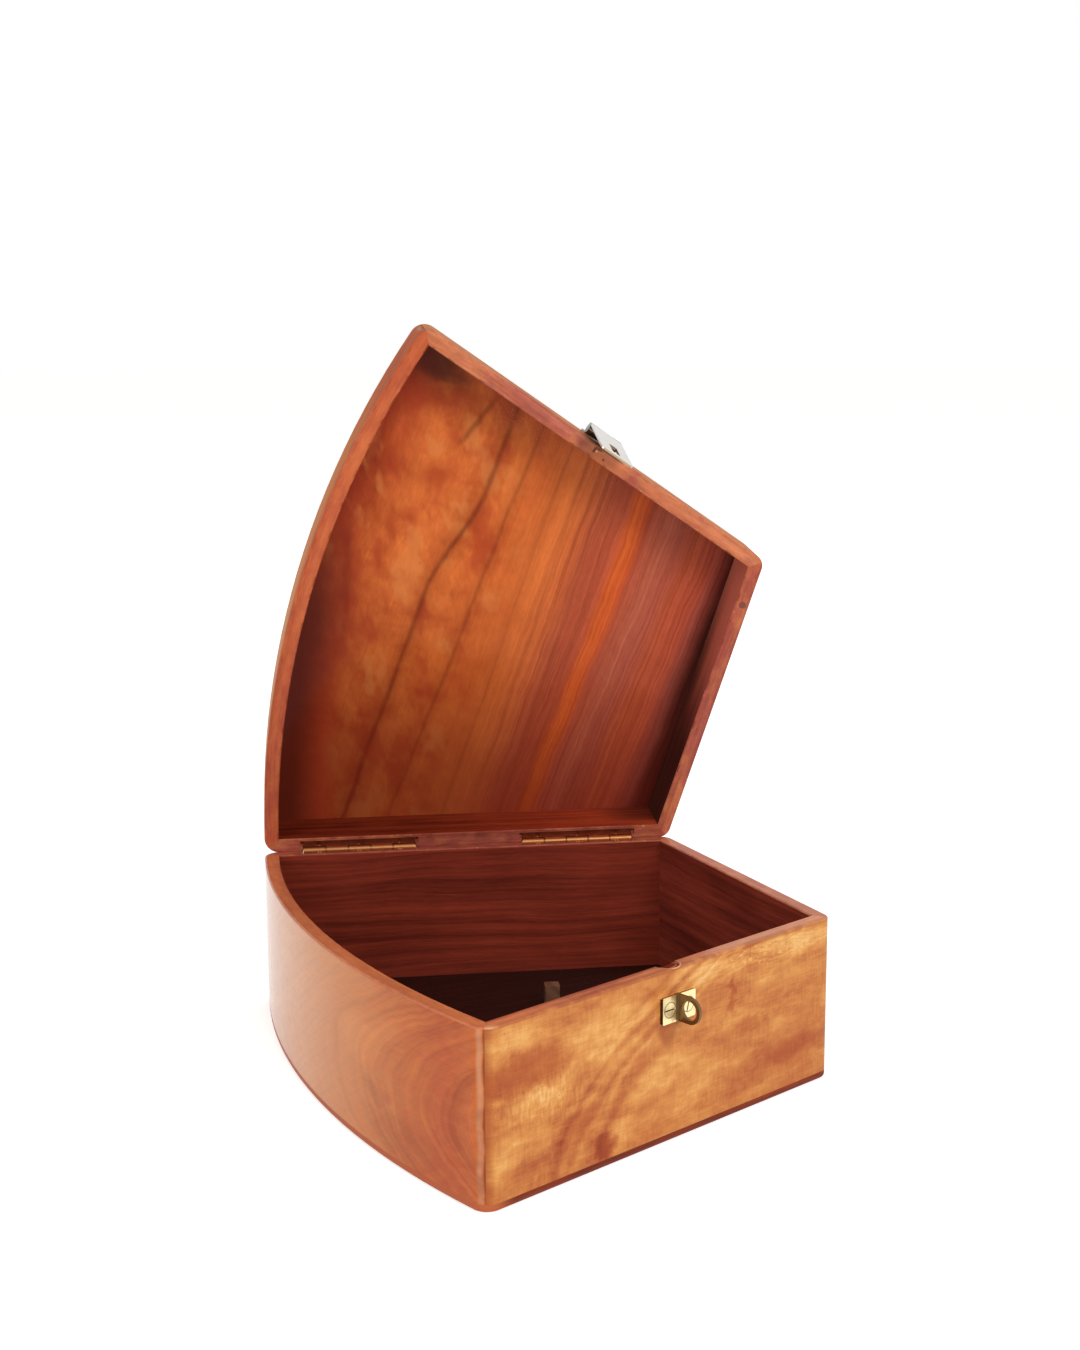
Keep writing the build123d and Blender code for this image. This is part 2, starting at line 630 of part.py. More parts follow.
def build():
    parts = {f"base_{name}": wall for name, wall in base_walls().items()}
    parts["base_bottom_board"] = bottom_board()
    parts["bottom_board_screws"] = screws(BOARD_SCREW, board_screw_places())
    parts["arc_rest_front"] = arc_rest(-1)
    parts["arc_rest_back"] = arc_rest(1)
    parts["arc_rest_pad_front"] = arc_rest_pad(-1)
    parts["arc_rest_pad_back"] = arc_rest_pad(1)
    parts["handle_chock"] = handle_chock()
    parts["end_rest"] = end_rest()
    parts["rest_post"] = rest_post()
    parts["staple"] = staple()
    parts["staple_screws"] = screws(STAPLE_SCREW, staple_screw_places())
    for side in HINGE_MIDDLES:
        parts[f"hinge_base_leaf_{side}"] = hinge_leaf(side, on_lid=False)
        parts[f"hinge_lid_leaf_{side}"] = opened(hinge_leaf(side, on_lid=True))
        parts[f"hinge_pin_{side}"] = hinge_pin(side)
    parts["hinge_base_screws"] = hinge_screws(on_lid=False)
    parts["hinge_lid_screws"] = opened(hinge_screws(on_lid=True))
    for name, wall in lid_walls().items():
        parts[f"lid_{name}"] = opened(wall)
    parts["lid_top_panel"] = opened(lid_top_panel())
    parts["lid_rim_plug"] = opened(rim_plug())
    parts["hasp_leaf"] = opened(hasp_leaf())
    parts["hasp_strap"] = opened(hasp_strap())
    parts["hasp_pin"] = opened(hasp_pin())
    parts["hasp_screws"] = opened(screws(HASP_SCREW, hasp_screw_places()))
    return parts


os.makedirs("parts", exist_ok=True)
for name, part in build().items():
    export_step(part, f"parts/{name}.step")
    print(name, len(part.solids()), round(sum(solid.volume for solid in part.solids())))
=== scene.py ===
import json
from math import atan2, cos, radians, sin, sqrt

import bmesh
import bpy
from mathutils import Matrix, Vector, noise


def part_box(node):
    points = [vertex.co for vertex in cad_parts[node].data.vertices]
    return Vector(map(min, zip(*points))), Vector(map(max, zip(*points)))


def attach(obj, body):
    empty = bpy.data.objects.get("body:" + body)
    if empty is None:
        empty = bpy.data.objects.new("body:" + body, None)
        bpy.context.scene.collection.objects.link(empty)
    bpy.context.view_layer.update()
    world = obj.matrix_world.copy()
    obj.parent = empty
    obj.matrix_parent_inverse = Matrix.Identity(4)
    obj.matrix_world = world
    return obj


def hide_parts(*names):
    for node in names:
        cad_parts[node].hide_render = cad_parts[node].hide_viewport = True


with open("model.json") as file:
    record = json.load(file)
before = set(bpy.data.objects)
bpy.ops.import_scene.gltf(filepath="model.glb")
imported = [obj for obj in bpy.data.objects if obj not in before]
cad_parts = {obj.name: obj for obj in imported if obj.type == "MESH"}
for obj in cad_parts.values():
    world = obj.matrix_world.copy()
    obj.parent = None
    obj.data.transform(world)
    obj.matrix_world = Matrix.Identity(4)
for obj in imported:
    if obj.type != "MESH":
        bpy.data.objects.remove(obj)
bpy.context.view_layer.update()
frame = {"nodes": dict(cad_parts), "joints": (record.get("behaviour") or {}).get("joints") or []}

# -------- the box's plan, in millimetres
# Shaders work in millimetres too, on the place that each point has with the lid closed.

WIDE_END = 310.0
NARROW_END = 171.0
BODY_LENGTH = 221.0
BOW = 25.0
WALL = 8.0
BOTTOM_LIP = 4.0
BASE_RIM = 85.0
LID_RIM = 85.3
LID_PANEL_INSIDE = 116.6
HASP_FROM_CORNER = 119.0
NOTCH_RADIUS = 6.8
NOTCH_MIDDLE = 7.2  # inside the front wall's outer face
STAPLE_HEIGHT = 66.1
STAPLE_THICK = 1.8
STAPLE_HALF_WIDTH = 11.0
STAPLE_SCREW_PITCH = 12.3
STAPLE_SCREW_RING = 3.75  # the radius of the painted shade in the gap round its screws
SLOT_HALF_WIDTH = 2.6
SLOT_HALF_LENGTH = 8.75
STRAP_END = 50.95  # the height of its lower end
HASP_PIN_HEIGHT = 105.3
STRAP_UNDERSIDE = 6.0  # off the front, at the hasp's pin
STRAP_LEAN = 0.0875  # towards the front, per millimetre down
KNUCKLE_RADIUS = 2.0
KNUCKLE_PITCH = 12.7
HINGE_INSET = 53.3  # middle of each hinge from the corner
SPLAY = atan2((WIDE_END - NARROW_END) / 2, BODY_LENGTH)
BOW_RADIUS = ((WIDE_END / 2) ** 2 + BOW**2) / (2 * BOW)
MM = 0.001


def on_plan(along, across):
    """A place on plan, from how far it is along and across the centre line."""
    x = along * cos(SPLAY) - across * sin(SPLAY)
    y = along * sin(SPLAY) + across * cos(SPLAY)
    return Vector((x, y, 0.0))


FRONT_WIDE = on_plan(-BODY_LENGTH / 2, -WIDE_END / 2)
FRONT_NARROW = on_plan(BODY_LENGTH / 2, -NARROW_END / 2)
BACK_NARROW = on_plan(BODY_LENGTH / 2, NARROW_END / 2)
BACK_WIDE = on_plan(-BODY_LENGTH / 2, WIDE_END / 2)
BOW_CENTRE = on_plan(BOW_RADIUS - BOW - BODY_LENGTH / 2, 0)

HINGE_MIDDLES = (BACK_WIDE.x + HINGE_INSET, BACK_NARROW.x - HINGE_INSET)

lid_joint = next(joint for joint in frame["joints"] if joint["name"] == "lid_hinge")
HINGE_POINT = Vector(lid_joint["pos_m"]) / MM
HINGE_AXIS = Vector(lid_joint["axis"])
LID_OPEN = -radians(lid_joint["range_deg"][0])


# -------- a small language for shaders


def srgb(red, green, blue):
    """A colour as it shows on a screen, 0 to 255, as linear numbers."""

    def linear(value):
        value /= 255
        return value / 12.92 if value <= 0.04045 else ((value + 0.055) / 1.055) ** 2.4

    return (linear(red), linear(green), linear(blue), 1.0)


def math_method(name):
    """A method that does one of the Math node's sums, with one other number."""
    return lambda self, other: self.shader.math(name, self, other)


class Num:
    """A shader socket that holds a number and takes part in sums."""

    __add__ = __radd__ = math_method("ADD")
    __sub__ = math_method("SUBTRACT")
    __mul__ = math_method("MULTIPLY")
    __truediv__ = math_method("DIVIDE")
    at_least = math_method("MAXIMUM")
    at_most = math_method("MINIMUM")

    def __init__(self, shader, socket):
        self.shader = shader
        self.socket = socket

    def __rsub__(self, other):
        return self.shader.math("SUBTRACT", other, self)

    def __abs__(self):
        return self.shader.math("ABSOLUTE", self)

    def squared(self):
        return self * self


# A mix node's sockets for colours, by number, because its names repeat
MIX_FIRST, MIX_SECOND, MIX_RESULT = 6, 7, 2


class Shader:
    """One material's node tree, built by calls that return sockets."""

    def __init__(self, name, **fixed):
        self.material = bpy.data.materials.new(name)
        self.material.use_nodes = True
        self.tree = self.material.node_tree
        self.surface = self.tree.nodes["Principled BSDF"]
        for socket, value in fixed.items():
            self.surface.inputs[socket.replace("_", " ")].default_value = value

    def node(self, kind, *values, **settings):
        """A new node, with values for its first sockets."""
        node = self.tree.nodes.new(kind)
        for name, value in settings.items():
            setattr(node, name, value)
        for socket, value in zip(node.inputs, values):
            self.put(socket, value)
        return node

    def put(self, socket, value):
        if isinstance(value, Num):
            value = value.socket
        if isinstance(value, bpy.types.NodeSocket):
            self.tree.links.new(value, socket)
        else:
            socket.default_value = value

    def put_named(self, node, **values):
        for name, value in values.items():
            self.put(node.inputs[name], value)

    def math(self, operation, *values):
        return Num(self, self.node("ShaderNodeMath", *values, operation=operation).outputs[0])

    def vector(self, x, y, z):
        return self.node("ShaderNodeCombineXYZ", x, y, z).outputs[0]

    def vector_math(self, operation, *values):
        return self.node("ShaderNodeVectorMath", *values, operation=operation).outputs[0]

    def dot(self, place, direction):
        node = self.node("ShaderNodeVectorMath", place, tuple(direction), operation="DOT_PRODUCT")
        return Num(self, node.outputs["Value"])

    def split(self, place):
        outputs = self.node("ShaderNodeSeparateXYZ", place).outputs
        return [Num(self, socket) for socket in outputs]

    def place(self, on_lid=False):
        """Where a point is with the lid closed, in millimetres."""
        place = self.node("ShaderNodeTexCoord").outputs["Object"]
        place = self.vector_math("MULTIPLY", place, (1 / MM,) * 3)
        if on_lid:
            turn = self.node("ShaderNodeVectorRotate", rotation_type="AXIS_ANGLE")
            self.put_named(turn, Vector=place, Angle=-LID_OPEN)
            self.put_named(turn, Center=tuple(HINGE_POINT), Axis=tuple(HINGE_AXIS))
            place = turn.outputs[0]
        return place

    def noise(self, x, y, z=0.0, detail=2.0, rough=0.5, distortion=0.0):
        """Noise between about 0.2 and 0.8, with a feature about 1 long."""
        node = self.node("ShaderNodeTexNoise", self.vector(x, y, z))
        self.put_named(node, Scale=1.0, Detail=detail, Roughness=rough, Distortion=distortion)
        return Num(self, node.outputs[0])

    def swing(self, reach, x, y, z, **settings):
        """Noise around 0, about 0.3 * reach either way."""
        return (self.noise(x, y, z, **settings) - 0.5) * reach

    def smooth(self, value, low, high):
        """0 below low and 1 above high, or the other way when low is the larger."""
        ends = (low, high, 0.0, 1.0) if low < high else (high, low, 1.0, 0.0)
        node = self.node("ShaderNodeMapRange", value, *ends, interpolation_type="SMOOTHSTEP")
        return Num(self, node.outputs[0])

    def length(self, x, y):
        return self.math("SQRT", x.squared() + y.squared())

    def line(self, value, centre, half_width):
        """1 where value is at centre, fading to 0 at half_width from it."""
        return self.smooth(abs(value - centre), half_width, 0.0)

    def blob(self, x, y, centre, size, turn=0.0):
        """A soft oval patch: 1 at its centre, and 0 outside size, its two half-axes."""
        dx, dy = x - centre[0], y - centre[1]
        turn = radians(turn)
        across = (dx * cos(turn) + dy * sin(turn)) / size[0]
        up = (dy * cos(turn) - dx * sin(turn)) / size[1]
        return self.smooth(across.squared() + up.squared(), 1.0, 0.0)

    def ramp(self, value, stops):
        """Colours along a number: stops are (position, colour), in order."""
        low, high = stops[0][0], stops[-1][0]
        node = self.node("ShaderNodeValToRGB", (value - low) / (high - low))
        elements = node.color_ramp.elements
        while len(elements) < len(stops):
            elements.new(0.5)
        for element, (position, colour) in zip(elements, stops):
            element.position = (position - low) / (high - low)
            element.color = colour
        return node.outputs[0]

    def mix(self, first, second, share, mode="MIX"):
        node = self.node("ShaderNodeMix", share, data_type="RGBA", blend_type=mode)
        self.put(node.inputs[MIX_FIRST], first)
        self.put(node.inputs[MIX_SECOND], second)
        return node.outputs[MIX_RESULT]

    def shade(self, colour, factor):
        """A colour made lighter or darker by a number around 1."""
        return self.vector_math("MULTIPLY", colour, self.vector(factor, factor, factor))

    def deepen(self, colour, factor):
        """Like shade, but as wood does it: redder where it is darker."""
        green, blue = self.math("POWER", factor, 1.4), self.math("POWER", factor, 1.5)
        return self.vector_math("MULTIPLY", colour, self.vector(factor, green, blue))

    def bump(self, height, distance, strength):
        node = self.node("ShaderNodeBump")
        self.put_named(node, Height=height, Distance=distance * MM, Strength=strength)
        self.put(self.surface.inputs["Normal"], node.outputs[0])

    def finish(self, colour, roughness):
        self.put(self.surface.inputs["Base Color"], colour)
        self.put(self.surface.inputs["Roughness"], roughness)
        return self.material


# -------- boards

# The keystone's centre line, towards the narrow end, and across it, to the back
ALONG = (cos(SPLAY), sin(SPLAY), 0.0)
ACROSS = (-sin(SPLAY), cos(SPLAY), 0.0)


def keystone_coordinates(sh, place):
    """u along the keystone's centre line, v across it, and z."""
    return sh.dot(place, ALONG), sh.dot(place, ACROSS), sh.split(place)[2]


class Board:
    """Where a wall lies: s along it from its first corner, depth, 0 at its outer face, and z."""

    def __init__(self, first, last):
        self.first = first
        self.run = (last - first).normalized()
        self.out = Vector((self.run.y, -self.run.x, 0.0))

    def coordinates(self, sh, place):
        s = sh.dot(place, self.run) - self.first.dot(self.run)
        depth = sh.dot(place, self.out) - self.first.dot(self.out)
        return s, depth, sh.split(place)[2]


class BowedBoard:
    """The bent wall of the wide end: s is 0 at the middle of the bow, and grows to the front."""

    def coordinates(self, sh, place):
        u, v, z = keystone_coordinates(sh, place)
        inwards = BOW_CENTRE.dot(Vector(ALONG)) - u
        aside = BOW_CENTRE.dot(Vector(ACROSS)) - v
        s = sh.math("ARCTAN2", aside, inwards) * BOW_RADIUS
        return s, sh.length(inwards, aside) - BOW_RADIUS, z


BOARDS = {
    "front_wall": Board(FRONT_WIDE, FRONT_NARROW),
    "end_wall": Board(FRONT_NARROW, BACK_NARROW),
    "back_wall": Board(BACK_NARROW, BACK_WIDE),
    "curved_wall": BowedBoard(),
}

# -------- tones


def palette(*colours):
    return [srgb(*colour) for colour in colours]


EMBER = srgb(134, 52, 26)
CHIP = srgb(236, 196, 158)  # bare wood where varnish has chipped off
RUBBED_WOOD = srgb(240, 182, 138)
RED_WEAR = srgb(150, 66, 34)
VARNISH_THREAD = srgb(120, 48, 28)
# Near-black painted shade in the lid's corners
SHADE_DARK = srgb(44, 22, 19)

# A board's tone runs from 0, dark, to 1, bright, and these are its colours
GOLDEN_WOOD = [
    (0.0, srgb(106, 42, 22)),
    (0.2, srgb(152, 70, 38)),
    (0.36, srgb(184, 101, 56)),
    (0.52, srgb(205, 128, 67)),
    (0.66, srgb(222, 151, 81)),
    (0.8, srgb(237, 177, 104)),
    (1.0, srgb(250, 213, 150)),
]

# Five colours for streaked wood, dark to light
# The base's inner faces: darker than their wood, partly as painted shade inside the box
INSIDE_TONES = palette((72, 27, 22), (98, 36, 26), (122, 46, 33), (144, 56, 38), (158, 64, 42))
BASE_END_TONES = palette((78, 30, 24), (108, 42, 32), (134, 54, 41), (156, 66, 49), (176, 84, 62))
LID_INSIDE_TONES = palette((84, 28, 18), (100, 32, 20), (142, 52, 30), (160, 64, 36), (178, 80, 46))
LID_END_TONES = palette((76, 36, 32), (104, 49, 41), (130, 63, 51), (150, 76, 60), (164, 88, 70))
RIM_TONES = palette((156, 74, 46), (180, 93, 62), (198, 113, 77), (210, 132, 93), (226, 158, 118))
ROSY_TONES = palette((136, 58, 48), (158, 74, 60), (176, 88, 74), (190, 104, 88), (208, 128, 110))
# The base's floor inside: nearly black, partly as painted shade
FLOOR_TONES = palette((34, 16, 13), (42, 20, 16), (48, 22, 17), (58, 25, 19), (70, 29, 22))
EDGE_TONES = palette((84, 30, 20), (110, 44, 28), (134, 52, 26), (146, 66, 42), (180, 86, 52))
BARE_TONES = palette((150, 70, 40), (182, 94, 58), (204, 122, 76), (204, 122, 76), (220, 160, 120))
REST_TONES = palette((58, 34, 24), (84, 52, 36), (108, 70, 50), (128, 88, 64), (146, 106, 80))
PLUG_TONES = palette((86, 36, 26), (104, 46, 34), (118, 56, 42), (128, 62, 46), (204, 122, 76))


def fibres(sh, along, across, seed):
    """Fine fibre streaks and pores that run along the grain, around 0.5."""
    streaks = sh.noise(along / 22, across / 0.9, seed, detail=3, rough=0.6)
    fine = sh.noise(along / 6, across / 0.28, seed + 3.0)
    return streaks * 0.6 + fine * 0.4


def pores(sh, along, across, seed):
    """Short dark dashes along the grain: 1 in a pore."""
    dashes = sh.noise(along / 2.4, across / 0.22, seed + 7.0, detail=1)
    return sh.smooth(dashes, 0.66, 0.76)


def golden_tone(sh, s, z, seed):
    """Figured honey-coloured wood, as a tone around 0: clouds, ripples, fibres and speckle."""
    drift = sh.noise(s / 60, z / 34, seed)
    clouds = sh.swing(0.62, s / 34 + drift, z / 13 - drift, seed + 1.0, detail=3)
    patches = sh.swing(0.36, s / 9, z / 5.5, seed + 2.0, detail=3, rough=0.55, distortion=0.5)
    wisps = sh.swing(0.2, s / 1.8, z / 10, seed + 3.0, detail=3, rough=0.55)
    fibre = sh.swing(0.2, s / 13, z / 0.9, seed + 4.0, detail=3, rough=0.6)
    speckle = sh.swing(0.1, s / 0.6, z / 0.8, seed + 5.0, detail=1)
    return clouds + patches + wisps + fibre + speckle


def streaked_wood(sh, along, across, seed, tones, spread=1.0):
    """Plain striped wood. tones are five colours, dark to light."""
    wander = sh.swing(12, along / 110, across / 50, seed, detail=1)
    bands = sh.swing(spread, (across + wander) / 4.2, along / 300, seed + 1.0, detail=3, rough=0.6)
    clouds = sh.noise(along / 60, across / 26, seed + 2.0)
    fine = fibres(sh, along, across + wander, seed)
    tone = bands + (clouds - 0.5) * 0.6 * spread + (fine - 0.5) * 0.7 + 0.5
    return sh.ramp(tone, [(0.12 + 0.19 * step, colour) for step, colour in enumerate(tones)])


def painted(sh, x, y, tone, patches):
    """A tone with soft patches added: each is (amount, middle, half-axes, turn in degrees)."""
    for amount, middle, size, turn in patches:
        tone += sh.blob(x, y, middle, size, turn) * amount
    return tone


def varnished(name, gloss=0.3, coat_ior=1.45):
    """Wood under varnish. A lower coat_ior shines less from in front than from the side."""
    return Shader(
        name,
        Roughness=0.5,
        Specular_IOR_Level=0.0,
        Coat_Weight=gloss,
        Coat_Roughness=0.12,
        Coat_IOR=coat_ior,
    )


# -------- the walls' outer faces

# The front's brighter and darker patches, at (s, z)
FRONT_PATCHES = [
    (0.10, (118, 30), (36, 22), 12),
    (0.14, (30, 43), (26, 9), 5),
    (0.12, (16, 76), (22, 9), 0),
    (0.16, (72, 67), (34, 15), 10),
    (-0.17, (25, 60), (34, 11), 2),
    (-0.16, (52, 26), (18, 8), 30),
    (-0.34, (72, 11), (9, 9), 0),
    (-0.14, (30, 12), (30, 12), 4),
    (0.12, (14, 18), (12, 22), 0),
    (-0.15, (186, 19), (38, 8), 13),
    (-0.08, (215, 14), (26, 16), 0),
    (-0.10, (172, 44), (16, 5), -8),
    (-0.14, (158, 62), (3.5, 13), 0),
    (0.15, (203, 78), (38, 8), -3),
    (0.08, (150, 76), (26, 7), -4),
]
FRONT_REDS = [
    (0.8, (24, 60), (36, 13), 3),
    (0.55, (54, 24), (20, 10), 30),
    (0.9, (72, 11), (11, 10), 0),
    (0.5, (172, 43), (20, 7), -8),
    (0.4, (190, 22), (44, 16), 14),
    (0.6, (158, 62), (4, 14), 0),
    (0.35, (206, 24), (30, 24), 0),
    (0.35, (100, 52), (22, 10), 50),
]
# The bent wall's colours along s, from the back corner to the front one, paler towards the back
# corner partly as painted sheen
BOW_TONES = [
    (-110, srgb(222, 158, 116)),
    (-20, srgb(227, 154, 99)),
    (30, srgb(220, 138, 76)),
    (70, srgb(216, 127, 62)),
    (104, srgb(206, 108, 48)),
    (130, srgb(195, 91, 45)),
    (150, srgb(200, 102, 50)),
]
# Its darker arcs: place, half-width, darkness
BOW_ARCS = ((29, 5, 0.06), (57, 6, 0.09), (105, 6, 0.16), (136, 5, 0.12))
NEAR_CORNER = 153.2  # s where the bent wall rounds into the front
BOW_PATCHES = [
    (-0.18, (71, 30), (12, 6), -30),
    (-0.10, (84, 31), (6, 4), 0),
    (0.12, (58, 52), (26, 16), 0),
    (0.10, (90, 66), (34, 8), 22),
    (-0.12, (92, 15), (44, 14), 0),
]


def front_tone(sh, s, z, rough_s, rough_z):
    tone = golden_tone(sh, s, z, 11.0) + 0.55
    # Growth lines sweep up to the right, from the bottom edge to the staple
    sweep = s - 68 - (z - 15) * 0.45 - (z - 15).squared() * 0.0125
    sweep += sh.swing(10, s / 24, z / 20, 3.1)
    near = sh.smooth(sweep, -52, -30) * sh.smooth(sweep, 14, 2)
    tone += (sh.noise(sweep / 7, z / 50, 4.0, rough=0.4) - 0.5) * near * 0.55
    low = sh.smooth(z, 62, 26)
    tone -= sh.line(sweep, 3.0, 9.0) * low * 0.13
    tone += sh.line(sweep, 16.0, 12.0) * low * 0.09
    tone = painted(sh, rough_s, rough_z, tone, FRONT_PATCHES)
    # Bright wavy streaks along the rim, and short wisps under it at the left
    streaks = sh.noise(s / 16, (z + sh.swing(9, s / 22, 0.0, 8.5)) / 1.7, 8.0, detail=3)
    tone += (streaks - 0.47) * sh.smooth(z, 60, 76) * sh.smooth(s, 96, 150) * 0.55
    wisps = sh.noise(s / 1.5, z / 6, 9.0)
    return tone + (wisps - 0.5) * sh.blob(s, z, (32, 45), (36, 18)) * 0.5


def front_figure(sh, s, z):
    """The base's front: golden clouds, a sweep of darker arcs, and the marks of its use."""
    rough_s = s + sh.swing(12, s / 7, z / 6, 6.0, detail=3)
    rough_z = z + sh.swing(9, s / 6, z / 5, 6.5, detail=3)
    colour = sh.ramp(front_tone(sh, s, z, rough_s, rough_z), GOLDEN_WOOD)
    redness = painted(sh, rough_s, rough_z, sh.smooth(z, 12, 0) * 0.3, FRONT_REDS)
    colour = sh.mix(colour, srgb(176, 78, 38), redness.at_most(0.85) * 0.62)
    # A fine crack down from the rim
    colour = sh.mix(colour, EMBER, sh.line(s, 170.5, 0.35) * sh.smooth(z, 56, 66) * 0.5)
    # Reddish wear where a padlock has hung against the wood
    beside = abs(s - 113.5) + (53 - z) * 0.42
    hang = sh.smooth(beside, 8.0, 2.5) * sh.smooth(z, 42, 52) * sh.smooth(z, 62, 58)
    colour = sh.mix(colour, RED_WEAR, hang * 0.6)
    # Bright crinkles along the rim at the right, and dark nicks
    crinkle = sh.noise(s / 3.6, (z - s * 0.05 + rough_z * 0.25) / 0.9, 9.8)
    crinkle = sh.smooth(crinkle, 0.56, 0.66) * sh.blob(s, z, (186, 78), (46, 7), -2)
    colour = sh.mix(colour, srgb(250, 206, 128), crinkle * 0.7)
    nicks = sh.smooth(sh.noise(s / 0.9, z / 2.2, 9.5, detail=1), 0.72, 0.78)
    colour = sh.mix(colour, EMBER, nicks * 0.4)
    # Darker end grain at the mitre, and a darker line under the rim
    mitre = s + sh.swing(3.2, z / 9, 2.0, 5.0, detail=3)
    colour = sh.mix(colour, srgb(160, 76, 36), sh.smooth(mitre, 6.6, 1.4) * 0.78)
    under_rim = sh.smooth(z, 83.2, 84.6) * sh.smooth(sh.noise(s / 11, 0.0, 5.5), 0.38, 0.58)
    return sh.mix(colour, RED_WEAR, under_rim * 0.7)


def bow_figure(sh, s, z):
    """The bent wall: nested arcs that open to the near corner, over orange-tan wood."""
    wander = sh.swing(20, s / 42, z / 24, 21.0)
    arcs = s - (z - 39).squared() * 0.031 + wander
    patches = sh.noise(s / 12, z / 7, 22.0, detail=3, distortion=0.4)
    colour = sh.ramp(s + wander + (patches - 0.5) * 70, BOW_TONES)
    strong = sh.smooth(s, 30, 120) * 0.8 + 0.2
    bands = sh.noise(arcs / 9, z / 150, 23.0, detail=3)
    hair = sh.noise(arcs / 1.7, z / 90, 23.5)
    tone = (bands - 0.5) * strong * 0.75 + (hair - 0.5) * strong * 0.3
    tone += sh.swing(0.14, (s - z * 1.6) / 3.2, (s + z) / 40, 24.5)
    tone += sh.swing(0.2, s / 14, (z - s * 0.05) / 0.8, 25.0, detail=3)
    tone += (patches - 0.5) * 0.2
    for position, half_width, darkness in BOW_ARCS:
        tone -= sh.line(arcs, position, half_width) * darkness
    tone += sh.line(arcs, 122, 5) * 0.10
    tone = painted(sh, s, z, tone, BOW_PATCHES)
    strokes = sh.noise((s - z * 1.9) / 1.6, (s + z * 0.6) / 16, 26.0, detail=1)
    strokes = sh.smooth(strokes, 0.62, 0.72) * sh.smooth(z, 40, 62) * sh.smooth(s, 40, 90)
    colour = sh.deepen(colour, tone + 1.0 + strokes * 0.12)
    # A painted highlight along the rounded near corner, and dark end grain beyond it
    uneven = s + sh.swing(2, z / 12, 3.0, 27.0)
    grey = sh.smooth(sh.noise(z / 16, 4.0, 27.5, detail=3), 0.42, 0.62)
    highlight_strip = sh.mix(srgb(214, 160, 122), srgb(160, 122, 98), grey)
    colour = sh.mix(colour, highlight_strip, sh.line(uneven, NEAR_CORNER, 2.2) * 0.6)
    beyond = sh.smooth(uneven, NEAR_CORNER + 1, NEAR_CORNER + 2)
    return sh.mix(colour, srgb(128, 60, 32), beyond * 0.85)


def plain_outside(seed):
    """The figure of an outer face that the photograph doesn't show."""

    def figure(sh, s, z):
        tone = golden_tone(sh, s, z, seed) + 0.50
        wave = sh.noise(s / 80, z / 50, seed + 7.0) * 40
        bands = sh.swing(0.5, (z + wave) / 5, s / 160, seed + 8.0, detail=3)
        return sh.ramp(tone + bands, GOLDEN_WOOD)

    return figure


OUTSIDE = {
    "base_front_wall": front_figure,
    "base_curved_wall": bow_figure,
    "base_end_wall": plain_outside(31.0),
    "base_back_wall": plain_outside(37.0),
    "lid_front_wall": plain_outside(41.0),
    "lid_curved_wall": bow_figure,
    "lid_end_wall": plain_outside(47.0),
    "lid_back_wall": plain_outside(53.0),
}

# -------- the walls' rims and insides

# How far each rim is rubbed to pale wood
RUBBED = {
    "base_front_wall": 0.34,
    "base_end_wall": 0.20,
    "base_curved_wall": 0.20,
    "lid_front_wall": 0.05,
}
# How streaked each rim is, where it isn't 1
STREAKED = {"lid_curved_wall": 0.5, "base_curved_wall": 0.7}
BENT_RIM_TINT = (1.04, 0.86, 0.68, 1.0)
# Along each rim: (brighter or darker, rosier or more golden, middle, half-length)
RIM_PATCHES = {
    "lid_front_wall": [
        (0.02, -0.35, 14, 26),
        (-0.06, 0.45, 70, 38),
        (-0.40, 0.20, 107, 6),
        (0.22, -0.60, 128, 16),
        (0.04, 0.40, 142, 7),
        (0.10, -0.30, 160, 20),
        (0.12, -0.15, 195, 50),
    ],
    "lid_curved_wall": [(-0.16, 0.2, -120, 90), (-0.06, 0.0, -40, 40), (0.06, -0.1, 70, 50)],
    "lid_end_wall": [(-0.10, 0.35, 90, 110)],
    # The back walls' rims are darker: dark varnish and painted shade
    "lid_back_wall": [(-0.32, 0.30, 110, 260)],
    "base_front_wall": [
        (0.34, -0.2, 20, 34),
        (0.04, 0.2, 80, 32),
        (0.20, 0.0, 150, 40),
        (0.30, 0.1, 215, 50),
    ],
    "base_curved_wall": [(-0.06, 0.0, 100, 60)],
    "base_end_wall": [(0.10, 0.3, 90, 110)],
    # Darker like the lid's back rim: dark varnish and painted shade
    "base_back_wall": [(-0.25, 0.30, 110, 260)],
}
# Where the strap knocks on the lid's rim: colour, middle (s, depth) and half-axes
STRAP_MARKS = (
    (srgb(96, 36, 20), (114.5, -3.2), (1.0, 2.4)),
    (srgb(104, 70, 44), (116.5, -1.7), (3.0, 0.9)),
    (srgb(120, 34, 20), (121.8, -5.2), (1.1, 0.9)),
    (srgb(250, 206, 176), (115.9, -3.4), (0.9, 0.7)),
)


def worn_notch(sh, colour, s, depth, on_rim):
    """The fingertip notch over the staple: darker inside, with painted shade and grime, and a bare,
    pale lip.
    """
    from_middle = sh.length(s - HASP_FROM_CORNER, depth + NOTCH_MIDDLE)
    inside = sh.smooth(from_middle, NOTCH_RADIUS, NOTCH_RADIUS - 0.8) * on_rim
    # Painted shade and grime inside the notch
    grime = sh.smooth(sh.noise(s / 2.2, depth / 1.6, 58.0, detail=3), 0.40, 0.60)
    shade_and_grime = sh.mix(srgb(126, 82, 72), srgb(88, 40, 28), grime)
    colour = sh.mix(colour, shade_and_grime, inside * 0.9)
    lip = sh.line(from_middle, NOTCH_RADIUS + 0.1, 0.55) * sh.smooth(depth, -4.5, -2.5)
    return sh.mix(colour, srgb(242, 186, 144), lip * sh.smooth(depth, -0.05, -0.3) * 0.9)


